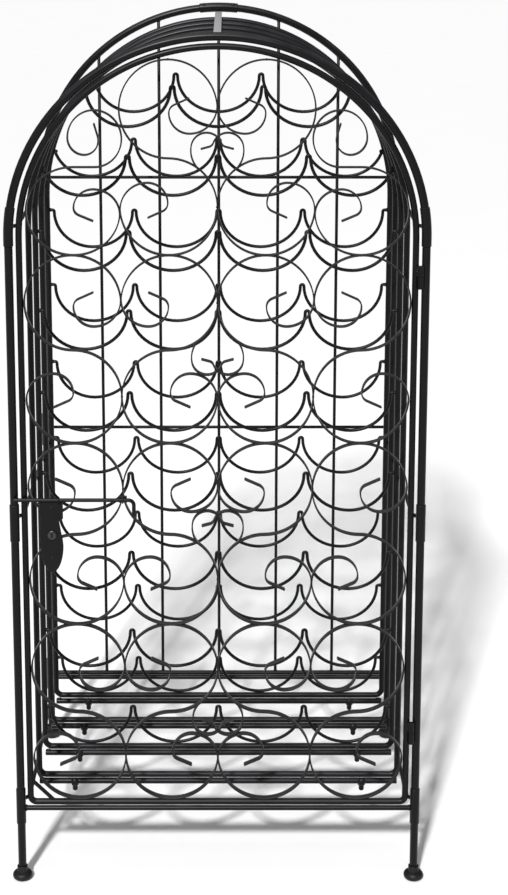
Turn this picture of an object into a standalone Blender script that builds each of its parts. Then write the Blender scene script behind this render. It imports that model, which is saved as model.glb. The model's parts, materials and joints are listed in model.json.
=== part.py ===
"""Arched steel wine cabinet for 35 bottles, with a lockable scrollwork door.

Six upright frames stand one behind the other: a front frame with the door, four hoops
and a back frame with a wire grille. Wavy wires on the second and fourth hoops cradle
the bottles. Units are metres, +Z is up, and the door faces -Y.
"""

import math

import bmesh
import bpy
from mathutils import Vector

# Driving sizes of the whole cabinet
LEG_SPACING = 0.463         # between the leg centres, left to right
STATION = 0.072             # front to back pitch of the six upright frames
STATIONS = 6
FRONT_RISE = 0.2227         # height of the front arch's centre line above the spring
BACK_RISE = 0.2311          # the back arch stands a little higher
TOUCH = 0.0003              # gap between pieces that touch

# Leg tubes, their sleeves and the feet
LEG_R = 0.0047
SLEEVE_WALL = 0.0009
SPIGOT_R = 0.0034
SPIGOT_LENGTH = 0.024
SLEEVE_HEIGHT = 0.044
BOTTOM_SLEEVE_Z = 0.0706    # underside of each sleeve
MIDDLE_SLEEVE_Z = 0.4200
TOP_SLEEVE_DROP = 0.0095    # from the arches' spring down to the top sleeve
FOOT_R = 0.0116
FOOT_HEIGHT = 0.0165
FOOT_NECK_R = 0.0062
FOOT_PAD_HEIGHT = 0.0085
STEM_R = 0.0028
STEM_LENGTH = 0.012
FIT = 0.0003                # radial clearance of spigots, stems and pins

# Bars and rails
BAR_R = 0.0030
BAR_Z = 0.0900
RAIL_R = 0.00225
RAIL_LIFTS = (0.0235, 0.0247, 0.0200)    # height of each rail above its sleeve's underside
RAIL_BUTT = 0.003           # straight end of a rail, which butts on the sleeve
RAIL_CRANK = 0.015          # length over which a rail then turns in to the hoops
GRILLE_WIRE_R = 0.0020
GRILLE_COLUMNS = 6          # widths that the upright grille wires divide the back into
APEX_SLEEVE_WALL = 0.0013
APEX_SLEEVE_LENGTH = 0.049
APEX_GAP = 0.0014           # between the back arch's halves, inside that sleeve
STRAP_WIDTH = 0.0085
STRAP_THICKNESS = 0.0020

# Hoops
HOOP_R = 0.0036
HOOP_RISE = 0.2226
HOOP_SPRING_DROP = 0.0024   # the hoops' arches start this far under the frames'
HOOP_BAR_Z = 0.0948
HOOP_CORNER_R = 0.0090
HOOP_BAR_SPACING = 0.0086   # the lower bar hangs this far under the hoop's own bar
BOLT_INSET = 0.0430         # bolts on the lower bar, in from its ends
BOLT_HEAD_R = 0.0048
BOLT_HEAD_HEIGHT = 0.0030
BOLT_NUT_R = 0.0032
BOLT_DROP = 0.0125          # how far the nut end hangs under the bar's centre

# Bottle cradles
CRADLE_WIRE_R = 0.0020
CRADLES_PER_ROW = 4
TOP_ROW_CRADLES = 3
CRADLE_DROP = 0.0476        # from the tip's centre line to the valley's centre line
LOWER_ROWS = 6
ROW_PITCH = 0.1016
UPPER_ROW_STEPS = (0.0968, 0.0909, 0.0819)
ROWS_UNDER_SPRING = 7
SPRING_LIFT = 0.0199        # from the tips of the highest of those rows up to the spring
TIP_R = 0.0023
END_TURN = 0.0030           # room for the outer ends to turn out to the hoop
VALLEY_STEPS = 6

# Door
DOOR_R = 0.0037
DOOR_CLEARANCE = 0.0023     # between the door frame and the leg sleeves
DOOR_BOTTOM_GAP = 0.0015    # between the door's bottom bar and the cabinet's
GUSSET_R = 0.0023
GUSSET_LEG = 0.0290
STRIP_DEPTH = 0.0080
STRIP_THICKNESS = 0.0016
SCROLL_COLUMNS = 4
SCROLL_ROWS = 4
LOWER_HINGE_Z = 0.1740
UPPER_HINGE_DROP = 0.0470   # from the top sleeve down to the upper hinge's underside
HINGE_BARREL_R = 0.0035
HINGE_PIN_R = 0.0016
HINGE_HEIGHT = 0.0260
HINGE_WELD_R = 0.0025       # the weld between a door barrel and the door's rod

# Latch and lock
LATCH_LIFT = 0.0078         # from the top of the middle sleeve up to the bolt
LATCH_R = 0.0022
LATCH_BEND_X = -0.1010
LATCH_HANDLE_DROP = 0.0190
GUIDE_WIRE_R = 0.0008
GUIDE_CLEARANCE = 0.0004
GUIDE_TAB = 0.0080
GUIDE_TAB_PROUD = 0.0006
LOCK_WIDTH = 0.0258
LOCK_HEIGHT = 0.0840
LOCK_X = -0.1886
LOCK_THICKNESS = 0.0025
LOCK_CYLINDER_R = 0.0050
LOCK_CYLINDER_DROP = 0.0420  # below the latch's centre line
LOCK_CYLINDER_PROUD = 0.0010
KEYHOLE_WIDTH = 0.0016
KEYHOLE_HEIGHT = 0.0060
KEYHOLE_DEPTH = 0.0020

# Roundness
SLEEVE_STEP = math.radians(0.3)     # length of the step from a sleeve down to its tube
ARCH_STEPS = 20
SCROLL_FACET = 0.046        # how far a facet may cut into a scroll's bend, per loop radius
TUBE_SIDES = 8
RING_SIDES = 12
CYLINDER_SIDES = 24         # enough for the lock's cylinder to turn in its hole

# Sizes that follow from those above
LEG_X = LEG_SPACING / 2
SLEEVE_R = LEG_R + SLEEVE_WALL
APEX_SLEEVE_R = LEG_R + APEX_SLEEVE_WALL
FRONT_Y = -(STATIONS - 1) / 2 * STATION
BACK_Y = -FRONT_Y
SLEEVE_INNER_X = LEG_X - SLEEVE_R - TOUCH
RAIL_X = SLEEVE_INNER_X - RAIL_R
HOOP_X = RAIL_X - RAIL_R - TOUCH - HOOP_R
HOOP_INNER_X = HOOP_X - HOOP_R
ARCH_FACET = LEG_X * (1 - math.cos(math.pi / ARCH_STEPS / 2))   # depth that facets cut off an arch
CRADLE_PITCH = 2 * HOOP_INNER_X / CRADLES_PER_ROW
LOWER_BAR_Z = HOOP_BAR_Z - HOOP_BAR_SPACING
FIRST_PEAK_Z = HOOP_BAR_Z + HOOP_R + TOUCH + CRADLE_WIRE_R + CRADLE_DROP
ROW_PEAKS = [FIRST_PEAK_Z + row * ROW_PITCH for row in range(LOWER_ROWS)]
for upper_step in UPPER_ROW_STEPS:
    ROW_PEAKS.append(ROW_PEAKS[-1] + upper_step)
SPRING_Z = ROW_PEAKS[ROWS_UNDER_SPRING - 1] + SPRING_LIFT
HOOP_SPRING_Z = SPRING_Z - HOOP_SPRING_DROP
TOP_SLEEVE_Z = SPRING_Z - TOP_SLEEVE_DROP
SLEEVE_HEIGHTS = (BOTTOM_SLEEVE_Z, MIDDLE_SLEEVE_Z, TOP_SLEEVE_Z)
RAIL_HEIGHTS = [sleeve + lift for sleeve, lift in zip(SLEEVE_HEIGHTS, RAIL_LIFTS)]
HINGE_HEIGHTS = (LOWER_HINGE_Z, TOP_SLEEVE_Z - UPPER_HINGE_DROP)
DOOR_X = LEG_X - SLEEVE_R - DOOR_CLEARANCE - DOOR_R
DOOR_RISE = FRONT_RISE - LEG_R - DOOR_CLEARANCE - DOOR_R
DOOR_BOTTOM_Z = BAR_Z + BAR_R + DOOR_BOTTOM_GAP + DOOR_R
LATCH_Z = MIDDLE_SLEEVE_Z + SLEEVE_HEIGHT + LATCH_LIFT
LATCH_Y = FRONT_Y - LEG_R - TOUCH - LATCH_R
LATCH_TIP_X = -LEG_X
LOCK_FRONT_Y = FRONT_Y - STRIP_DEPTH / 2 - TOUCH - LOCK_THICKNESS


def station_y(number):
    return FRONT_Y + number * STATION


def hinge_axis():
    """Where the hinge barrels touch both the leg and the door's rod, in front of them."""
    to_leg = LEG_R + HINGE_BARREL_R + TOUCH
    to_rod = DOOR_R + HINGE_BARREL_R + TOUCH
    between = LEG_X - DOOR_X
    along = (between**2 + to_rod**2 - to_leg**2) / (2 * between)
    return DOOR_X + along, FRONT_Y - math.sqrt(to_rod**2 - along**2)


# ---------------------------------------------------------------- Blender helpers

def clear_scene():
    for thing in list(bpy.data.objects):
        bpy.data.objects.remove(thing, do_unlink=True)


def make_material(name, colour, roughness, metallic):
    made = bpy.data.materials.new(name)
    made.use_nodes = True
    shader = made.node_tree.nodes["Principled BSDF"]
    shader.inputs["Base Color"].default_value = (*colour, 1.0)
    shader.inputs["Roughness"].default_value = roughness
    shader.inputs["Metallic"].default_value = metallic
    return made


def add_object(name, data, finish=None, location=(0.0, 0.0, 0.0)):
    made = bpy.data.objects.new(name, data)
    made.location = location
    cabinet.objects.link(made)
    if finish is not None:
        data.materials.append(finish)
    return made


def rod(name, points, radius, finish, resolution=1, cyclic=False, swell=None):
    """A round rod along the points; swell gives a radius factor for each point."""
    data = bpy.data.curves.new(name, "CURVE")
    data.dimensions = "3D"
    data.bevel_depth = radius
    data.bevel_resolution = resolution
    data.use_fill_caps = not cyclic
    spline = data.splines.new("POLY")
    spline.points.add(len(points) - 1)
    for index, point in enumerate(points):
        spline.points[index].co = (*point, 1.0)
        if swell:
            spline.points[index].radius = swell[index]
    spline.use_cyclic_u = cyclic
    spline.use_smooth = True
    return add_object(name, data, finish)


def strip(name, outline, finish):
    """A flat strip on edge: a ribbon in the XZ plane of the door, given its thickness."""
    data = bpy.data.curves.new(name, "CURVE")
    data.dimensions = "2D"
    data.fill_mode = "NONE"
    data.extrude = STRIP_DEPTH / 2
    spline = data.splines.new("POLY")
    spline.points.add(len(outline) - 1)
    for index, (x, z) in enumerate(outline):
        spline.points[index].co = (x, z, 0.0, 1.0)
    made = add_object(name, data, finish, location=(0.0, FRONT_Y, 0.0))
    made.rotation_euler = (math.pi / 2, 0.0, 0.0)
    thicken = made.modifiers.new("thickness", "SOLIDIFY")
    thicken.thickness = STRIP_THICKNESS
    thicken.offset = 0.0
    thicken.use_even_offset = True
    return made


def turned(name, profile, finish, location=(0.0, 0.0, 0.0), axis="Z", sides=TUBE_SIDES):
    """A solid of revolution: the (radius, height) profile runs down its outer side."""
    data = bpy.data.meshes.new(name)
    edges = [(index, index + 1) for index in range(len(profile) - 1)]
    data.from_pydata([(radius, 0.0, height) for radius, height in profile], edges, [])
    made = add_object(name, data, finish, location)
    if axis == "Y":
        made.rotation_euler = (math.pi / 2, 0.0, 0.0)
    spin = made.modifiers.new("turn", "SCREW")
    spin.steps = sides
    spin.render_steps = sides
    spin.use_merge_vertices = True
    spin.merge_threshold = 0.00001
    return made


def box(name, low, high, finish=None):
    bpy.ops.mesh.primitive_cube_add(size=1.0)
    made = bpy.context.active_object
    centre = [(a + b) / 2 for a, b in zip(low, high)]
    for vertex in made.data.vertices:
        vertex.co = [vertex.co[i] * (high[i] - low[i]) for i in range(3)]
    made.location = centre
    return adopt(made, name, finish)


def ring(name, centre, major, minor, finish=None):
    """A wire ring round an axis along X."""
    bpy.ops.mesh.primitive_torus_add(
        major_segments=RING_SIDES, minor_segments=6, major_radius=major, minor_radius=minor,
        location=centre, rotation=(0.0, math.pi / 2, 0.0))
    return adopt(bpy.context.active_object, name, finish)


def adopt(made, name, finish):
    made.name = name
    made.data.name = name
    for holder in list(made.users_collection):
        holder.objects.unlink(made)
    cabinet.objects.link(made)
    if finish is not None:
        made.data.materials.append(finish)
    return made


def settle(made):
    """Turns an object into a plain closed mesh with its modifiers and place applied."""
    bpy.context.view_layer.update()
    graph = bpy.context.evaluated_depsgraph_get()
    data = bpy.data.meshes.new_from_object(made.evaluated_get(graph))
    data.transform(made.matrix_world)
    work = bmesh.new()
    work.from_mesh(data)
    bmesh.ops.remove_doubles(work, verts=work.verts, dist=0.000005)
    bmesh.ops.recalc_face_normals(work, faces=work.faces)
    work.to_mesh(data)
    work.free()
    name = made.name
    bpy.data.objects.remove(made, do_unlink=True)
    data.name = name
    solid = bpy.data.objects.new(name, data)
    cabinet.objects.link(solid)
    return solid


def combine(base, other, operation, solver="EXACT"):
    """Joins the other solid to the base, or cuts it out, and uses the other one up."""
    change = base.modifiers.new("combine", "BOOLEAN")
    change.operation = operation
    change.solver = solver
    change.object = other
    name = base.name
    solid = settle(base)
    bpy.data.objects.remove(other, do_unlink=True)
    solid.name = name
    return solid


def unite(name, pieces, solver="EXACT"):
    solid = settle(pieces[0])
    for piece in pieces[1:]:
        solid = combine(solid, settle(piece), "UNION", solver)
    solid.name = name
    return solid


def round_shading(made):
    made.data.shade_smooth()
    made.data.set_sharp_from_angle(angle=math.radians(35))


# ---------------------------------------------------------------- outlines

def arch_point(half_width, rise, spring, angle):
    return half_width * math.cos(angle), spring + rise * math.sin(angle)


def arch_run(half_width, rise, spring, first=0.0, last=math.pi, steps=ARCH_STEPS):
    """Points along an arch from its right spring, at angle 0, towards the left one."""
    angles = [first + (last - first) * step / steps for step in range(steps + 1)]
    return [arch_point(half_width, rise, spring, angle) for angle in angles]


def arch_height(x, half_width, rise, spring):
    return spring + rise * math.sqrt(max(0.0, 1.0 - (x / half_width)**2))


def arch_reach(z, half_width, rise, spring):
    """Half the arch's width at a height, which is the legs' below the spring."""
    up = max(0.0, z - spring) / rise
    return half_width * math.sqrt(max(0.0, 1.0 - up**2))


def walk(position, heading, legs):
    """Points along a run of bends: each leg is a radius and a turn, positive to the left.

    A leg that turns by nothing is straight, and its radius is then its length.
    """
    x, z = position
    points = [(x, z)]
    for radius, turn in legs:
        widest = 2 * math.acos(1 - min(0.5, SCROLL_FACET / radius))
        steps = max(1, math.ceil(abs(turn) / widest))
        part = turn / steps
        chord = 2 * radius * math.sin(abs(part) / 2) if turn else radius
        for _ in range(steps):
            heading += part / 2
            x += chord * math.cos(heading)
            z += chord * math.sin(heading)
            heading += part / 2
            points.append((x, z))
    return points


def degrees(legs):
    return [(radius, math.radians(turn)) for radius, turn in legs]


# ---------------------------------------------------------------- frames

def leg_profile(bottom, top, sleeves, socket_above, spigot_above, bore_below, spigot_below):
    """The outline of one leg tube, from the middle of its top to the middle of its foot."""
    profile = []
    if socket_above:
        depth = SPIGOT_LENGTH + TOUCH
        profile += [(0.0, top - depth), (SPIGOT_R + FIT, top - depth), (SPIGOT_R + FIT, top)]
    elif spigot_above:
        profile += [(0.0, top + SPIGOT_LENGTH), (SPIGOT_R, top + SPIGOT_LENGTH), (SPIGOT_R, top)]
    edge = top
    for low, high in sleeves:
        if high < edge:
            profile += [(LEG_R, edge), (LEG_R, high)]
        profile += [(SLEEVE_R, high), (SLEEVE_R, low)]
        edge = low
    profile += [(LEG_R, edge), (LEG_R, bottom)]
    if bore_below:
        depth = STEM_LENGTH + TOUCH
        profile += [(STEM_R + FIT, bottom), (STEM_R + FIT, bottom + depth), (0.0, bottom + depth)]
    elif spigot_below:
        low = bottom - SPIGOT_LENGTH
        profile += [(SPIGOT_R, bottom), (SPIGOT_R, low), (0.0, low)]
    return profile


def make_legs(end, y):
    """The foot, lower leg and upper leg on each side of the front or the back frame."""
    middle_top = MIDDLE_SLEEVE_Z + SLEEVE_HEIGHT
    lower = leg_profile(
        FOOT_HEIGHT + TOUCH, middle_top,
        [(MIDDLE_SLEEVE_Z, middle_top), (BOTTOM_SLEEVE_Z, BOTTOM_SLEEVE_Z + SLEEVE_HEIGHT)],
        socket_above=True, spigot_above=False, bore_below=True, spigot_below=False)
    upper = leg_profile(
        middle_top + TOUCH, TOP_SLEEVE_Z - TOUCH, [],
        socket_above=False, spigot_above=True, bore_below=False, spigot_below=True)
    foot = [
        (0.0, FOOT_HEIGHT + STEM_LENGTH), (STEM_R, FOOT_HEIGHT + STEM_LENGTH),
        (STEM_R, FOOT_HEIGHT), (FOOT_NECK_R, FOOT_HEIGHT), (FOOT_NECK_R, FOOT_PAD_HEIGHT),
        (FOOT_R * 0.8, FOOT_PAD_HEIGHT), (FOOT_R, FOOT_PAD_HEIGHT * 0.6),
        (FOOT_R, FOOT_PAD_HEIGHT * 0.25), (FOOT_R * 0.85, 0.0), (0.0, 0.0)]
    for side, x in (("left", -LEG_X), ("right", LEG_X)):
        round_shading(turned(f"{end}_foot_{side}", foot, foot_black, (x, y, 0.0)))
        round_shading(turned(f"{end}_lower_leg_{side}", lower, frame_black, (x, y, 0.0)))
        round_shading(turned(f"{end}_upper_leg_{side}", upper, frame_black, (x, y, 0.0)))


def sleeve_end(rise):
    """The angle along an arch where the sleeve on its foot ends."""
    return math.asin((TOP_SLEEVE_Z + SLEEVE_HEIGHT - SPRING_Z) / rise)


def arch_tube(name, y, rise, last, steps):
    """An arch from its right sleeve to the angle last, with a socket in each sleeve."""
    sleeve_angle = sleeve_end(rise)
    flat = [(LEG_X, TOP_SLEEVE_Z), (LEG_X, SPRING_Z)]
    flat.append(arch_point(LEG_X, rise, SPRING_Z, sleeve_angle / 2))
    flat.append(arch_point(LEG_X, rise, SPRING_Z, sleeve_angle))
    swell = [SLEEVE_R / LEG_R] * len(flat)
    whole = last > math.pi / 2 + 0.01
    end = math.pi - sleeve_angle - SLEEVE_STEP if whole else last
    run = arch_run(LEG_X, rise, SPRING_Z, sleeve_angle + SLEEVE_STEP, end, steps)
    swell += [1.0] * len(run)
    if whole:
        far_side = [(-x, z) for x, z in reversed(flat)]
        run += far_side
        swell += [SLEEVE_R / LEG_R] * len(far_side)
    points = [(x, y, z) for x, z in flat + run]
    tube = settle(rod(name, points, LEG_R, frame_black, resolution=2, swell=swell))
    socket = [
        (0.0, TOP_SLEEVE_Z + SPIGOT_LENGTH + TOUCH),
        (SPIGOT_R + FIT, TOP_SLEEVE_Z + SPIGOT_LENGTH + TOUCH),
        (SPIGOT_R + FIT, TOP_SLEEVE_Z - SPIGOT_LENGTH), (0.0, TOP_SLEEVE_Z - SPIGOT_LENGTH)]
    for x in (LEG_X, -LEG_X) if whole else (LEG_X,):
        tube = combine(tube, settle(turned("socket", socket, None, (x, y, 0.0))), "DIFFERENCE")
    tube.name = name
    round_shading(tube)
    return tube


def make_front_frame():
    make_legs("front", FRONT_Y)
    arch_tube("front_arch", FRONT_Y, FRONT_RISE, math.pi, ARCH_STEPS)
    reach = SLEEVE_INNER_X
    rod("front_bottom_bar", [(-reach, FRONT_Y, BAR_Z), (reach, FRONT_Y, BAR_Z)], BAR_R, frame_black)


def make_back_frame():
    make_legs("back", BACK_Y)
    last = math.pi / 2 - math.asin(APEX_GAP / 2 / LEG_X)
    half_steps = ARCH_STEPS // 2
    right = arch_tube("back_arch_right", BACK_Y, BACK_RISE, last, half_steps)
    mirrored = right.data.copy()
    mirrored.name = "back_arch_left"
    for vertex in mirrored.vertices:
        vertex.co.x = -vertex.co.x
    mirrored.flip_normals()
    add_object("back_arch_left", mirrored)
    reach = SLEEVE_INNER_X
    low = BAR_Z - BAR_R - TOUCH / 2
    rod("back_bottom_bar", [(-reach, BACK_Y, low), (reach, BACK_Y, low)], BAR_R, frame_black)
    make_apex_sleeve((last - sleeve_end(BACK_RISE) - SLEEVE_STEP) / half_steps)
    make_back_grille()


def make_apex_sleeve(facet):
    """The sleeve that joins the two halves of the back arch along their last facets."""
    apex_z = SPRING_Z + BACK_RISE
    x, z = arch_point(LEG_X, BACK_RISE, SPRING_Z, math.pi / 2 - facet)

    def along(reach):
        share = reach / math.hypot(x, z - apex_z)
        end_x, end_z = x * share, apex_z + (z - apex_z) * share
        return [(end_x, BACK_Y, end_z), (0.0, BACK_Y, apex_z), (-end_x, BACK_Y, end_z)]

    sleeve = settle(rod("back_apex_sleeve", along(APEX_SLEEVE_LENGTH / 2), APEX_SLEEVE_R, frame_black, 2))
    bore = settle(rod("bore", along(APEX_SLEEVE_LENGTH), LEG_R + TOUCH, None, 2))
    sleeve = combine(sleeve, bore, "DIFFERENCE")
    sleeve.name = "back_apex_sleeve"
    round_shading(sleeve)


def make_back_grille():
    bar_z = BAR_Z + BAR_R + TOUCH / 2
    reach = SLEEVE_INNER_X
    pieces = [rod("back_grille", [(-reach, BACK_Y, bar_z), (reach, BACK_Y, bar_z)], BAR_R, wire_black)]
    for height in RAIL_HEIGHTS[1:]:
        lean = LEG_X - arch_reach(height + SLEEVE_R, LEG_X, BACK_RISE, SPRING_Z)
        ends = [(lean - reach, BACK_Y, height), (reach - lean, BACK_Y, height)]
        pieces.append(rod("cross_wire", ends, GRILLE_WIRE_R, wire_black))
    inset = LEG_R + TOUCH + ARCH_FACET
    for column in range(1, GRILLE_COLUMNS):
        x = -LEG_X + column * LEG_SPACING / GRILLE_COLUMNS
        edge = abs(x) + GRILLE_WIRE_R
        top = arch_height(edge, LEG_X - inset, BACK_RISE - inset, SPRING_Z)
        if column * 2 == GRILLE_COLUMNS:
            top -= APEX_SLEEVE_R - LEG_R
        ends = [(x, BACK_Y, bar_z), (x, BACK_Y, top)]
        pieces.append(rod("upright_wire", ends, GRILLE_WIRE_R, wire_black))
    unite("back_grille", pieces)


# ---------------------------------------------------------------- hoops, rails and strap

def make_hoop(number):
    y = station_y(number)
    corner = HOOP_CORNER_R
    outline = []
    for side, start in ((1, -math.pi / 2), (-1, math.pi)):
        centre_x = side * (HOOP_X - corner)
        turn = [start + math.pi / 2 * step / 3 for step in range(4)]
        bend = [(centre_x + corner * math.cos(a), HOOP_BAR_Z + corner + corner * math.sin(a)) for a in turn]
        if side == 1:
            outline += bend + arch_run(HOOP_X, HOOP_RISE, HOOP_SPRING_Z)
        else:
            outline += bend
    rod(f"hoop_{number}", [(x, y, z) for x, z in outline], HOOP_R, frame_black, cyclic=True)
    make_lower_bar(number, y)


def make_lower_bar(number, y):
    """The bar under a hoop, with a bolt and its hanging nut end near each side."""
    name = f"hoop_{number}_lower_bar"
    ends = [(-HOOP_X, y, LOWER_BAR_Z), (HOOP_X, y, LOWER_BAR_Z)]
    pieces = [rod(name, ends, HOOP_R, frame_black)]
    head = [(0.0, HOOP_R + BOLT_HEAD_HEIGHT), (BOLT_HEAD_R, HOOP_R + BOLT_HEAD_HEIGHT),
            (BOLT_HEAD_R, HOOP_R * 0.4), (0.0, HOOP_R * 0.4)]
    nut = [(0.0, 0.0), (BOLT_NUT_R, 0.0), (BOLT_NUT_R, -BOLT_DROP), (0.0, -BOLT_DROP)]
    for x in (-HOOP_X + BOLT_INSET, HOOP_X - BOLT_INSET):
        pieces.append(turned("bolt_head", head, frame_black, (x, y, LOWER_BAR_Z), axis="Y"))
        pieces.append(turned("bolt_nut", nut, frame_black, (x, y, LOWER_BAR_Z)))
    unite(name, pieces)


def make_side_rails():
    """Rails along each side whose cranked ends butt on the leg sleeves."""
    start = FRONT_Y + SLEEVE_R + TOUCH
    bend = start + RAIL_BUTT
    for level, height in zip(("lower", "middle", "upper"), RAIL_HEIGHTS):
        for side, sign in (("left", -1), ("right", 1)):
            points = [
                (sign * LEG_X, start, height), (sign * LEG_X, bend, height),
                (sign * RAIL_X, bend + RAIL_CRANK, height), (sign * RAIL_X, -bend - RAIL_CRANK, height),
                (sign * LEG_X, -bend, height), (sign * LEG_X, -start, height)]
            rod(f"side_rail_{level}_{side}", points, RAIL_R, wire_black)


def make_top_strap():
    low = HOOP_SPRING_Z + HOOP_RISE + HOOP_R + TOUCH
    box("top_strap",
        (-STRAP_WIDTH / 2, FRONT_Y + LEG_R + TOUCH, low),
        (STRAP_WIDTH / 2, BACK_Y - APEX_SLEEVE_R - TOUCH, low + STRAP_THICKNESS), strap_grey)


# ---------------------------------------------------------------- bottle cradles

def in_hoop(x, z):
    """True where a cradle wire clears the inside of the hoop's arch."""
    inset = HOOP_R + TOUCH + ARCH_FACET + CRADLE_WIRE_R
    if z <= HOOP_SPRING_Z:
        return True
    across = x / (HOOP_X - inset)
    up = (z - HOOP_SPRING_Z) / (HOOP_RISE - inset)
    return across**2 + up**2 < 1.0


def cradle_line(peak, cradles):
    """Centre line of one row: round valleys, narrow tips and ends that meet the hoop."""
    reach = CRADLE_PITCH / 2 - TIP_R
    rim = peak - TIP_R
    depth = CRADLE_DROP - TIP_R

    half = cradles / 2 * CRADLE_PITCH

    def valley(centre, angle):
        side = math.cos(angle)
        outer = abs(centre - math.copysign(CRADLE_PITCH / 2, side)) > half - 0.001
        width = reach - END_TURN if outer else reach
        return centre - width * side, rim - depth * math.sin(angle)

    centres = [(index - (cradles - 1) / 2) * CRADLE_PITCH for index in range(cradles)]
    start = 0.0
    if not in_hoop(*valley(centres[0], 0.0)):
        outside, inside = 0.0, math.pi / 2
        for _ in range(30):
            start = (outside + inside) / 2
            if in_hoop(*valley(centres[0], start)):
                inside = start
            else:
                outside = start
    points = []
    for index, centre in enumerate(centres):
        first = start if index == 0 else 0.0
        last = math.pi - start if index == cradles - 1 else math.pi
        steps = max(3, math.ceil((last - first) / math.pi * VALLEY_STEPS - 0.001))
        points += [valley(centre, first + (last - first) * step / steps) for step in range(steps + 1)]
        if index < cradles - 1:
            tip_x = centre + CRADLE_PITCH / 2
            points.append((tip_x, peak))
    if start == 0.0:
        turn = [(half - TIP_R - END_TURN / 2, peak), (half - TOUCH, peak)]
        points = [(-x, z) for x, z in reversed(turn)] + points + turn
    return points


def make_cradles():
    for place, number in (("front", 2), ("back", 4)):
        y = station_y(number)
        for row, peak in enumerate(ROW_PEAKS, start=1):
            cradles = TOP_ROW_CRADLES if row == len(ROW_PEAKS) else CRADLES_PER_ROW
            line = [(x, y, z) for x, z in cradle_line(peak, cradles)]
            rod(f"{place}_cradle_row_{row}", line, CRADLE_WIRE_R, wire_black, resolution=0)


# ---------------------------------------------------------------- door

def make_door_frame():
    """The door's rod frame, with its corner gusset and the barrels of its two hinges."""
    outline = [(DOOR_X, DOOR_BOTTOM_Z)] + arch_run(DOOR_X, DOOR_RISE, SPRING_Z)
    outline.append((-DOOR_X, DOOR_BOTTOM_Z))
    points = [(x, FRONT_Y, z) for x, z in outline]
    pieces = [rod("door_frame", points, DOOR_R, frame_black, resolution=2, cyclic=True)]
    gusset = [(-DOOR_X, FRONT_Y, DOOR_BOTTOM_Z + GUSSET_LEG), (-DOOR_X + GUSSET_LEG, FRONT_Y, DOOR_BOTTOM_Z)]
    pieces.append(rod("gusset", gusset, GUSSET_R, frame_black))
    x, y = hinge_axis()
    bore = HINGE_PIN_R + FIT
    low, high = HINGE_HEIGHT / 2 + TOUCH, HINGE_HEIGHT
    barrel = [(bore, high), (HINGE_BARREL_R, high), (HINGE_BARREL_R, low), (bore, low), (bore, high)]
    wall = (HINGE_BARREL_R + bore) / 2 / math.hypot(DOOR_X - x, FRONT_Y - y)
    for height in HINGE_HEIGHTS:
        pieces.append(turned("barrel", barrel, frame_black, (x, y, height)))
        middle = height + (low + high) / 2
        weld = [(DOOR_X, FRONT_Y, middle), (x + (DOOR_X - x) * wall, y + (FRONT_Y - y) * wall, middle)]
        pieces.append(rod("weld", weld, HINGE_WELD_R, frame_black))
    unite("door_frame", pieces)


def make_hinge_pins():
    """On each leg, a lower barrel with the pin that stands in the door's barrel."""
    x, y = hinge_axis()
    half = HINGE_HEIGHT / 2
    pin = [(0.0, HINGE_HEIGHT), (HINGE_PIN_R, HINGE_HEIGHT), (HINGE_PIN_R, half),
           (HINGE_BARREL_R, half), (HINGE_BARREL_R, 0.0), (0.0, 0.0)]
    for place, height in zip(("lower", "upper"), HINGE_HEIGHTS):
        round_shading(turned(f"hinge_pin_{place}", pin, frame_black, (x, y, height)))


# Bends of a scroll from the middle of its S outwards, in units of the scroll's radius.
# The loop is split at its side and its foot, so that a facet's corner lies where loops meet.
SCROLL_LEGS = degrees([(1.0, -90), (1.0, -90), (1.0, -82), (0.56, -98), (0.42, -90), (0.18, -66), (0.34, 0)])
SHOULDER_LEGS = degrees([(0.47, 0), (0.58, 90), (0.58, 90), (0.56, 90), (0.35, 90), (0.30, 107), (0.27, 0)])
HEART_LEGS = degrees([(0.55, -50), (0.32, -150), (0.12, 55), (0.18, 0)])
HEART_ANGLE = math.radians(54)      # where on the scroll's loop the heart curl starts
LOOP_ANGLES = [math.radians(part) for part in range(0, 95, 5)]
SHOULDER_SQUASH = 0.91              # the lower loops under the arch's shoulders are flatter


def inside_door():
    """The half width and rise that a strip's centre line keeps to under the door's arch."""
    inset = DOOR_R + TOUCH + ARCH_FACET + STRIP_THICKNESS / 2
    return DOOR_X - inset, DOOR_RISE - inset


def scroll_size():
    """Half the width and height of a scroll's loop, and the lowest loop's underside.

    The height lets the highest loops of the inner columns just touch the door's arch.
    """
    outer = DOOR_X - DOOR_R - TOUCH - STRIP_THICKNESS / 2
    across = outer / SCROLL_COLUMNS
    bottom = DOOR_BOTTOM_Z + DOOR_R + TOUCH + STRIP_THICKNESS / 2
    centre = min(
        arch_height(across + across * math.cos(angle), *inside_door(), SPRING_Z)
        - across * math.sin(angle) for angle in LOOP_ANGLES)
    return across, (centre + across - bottom) / (4 * SCROLL_ROWS), bottom


def shoulder_width(across, up, bottom):
    """How narrow the loops under the arch's shoulders are, per loop of full width."""
    height = up * SHOULDER_SQUASH
    middle = bottom + (SCROLL_ROWS - 1) * 4 * up + height
    room = [
        (arch_reach(middle + height * math.sin(angle), *inside_door(), SPRING_Z) - 2 * across)
        / (1 + math.cos(angle)) for angle in LOOP_ANGLES]
    return min(1.0, min(room) / across)


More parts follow.
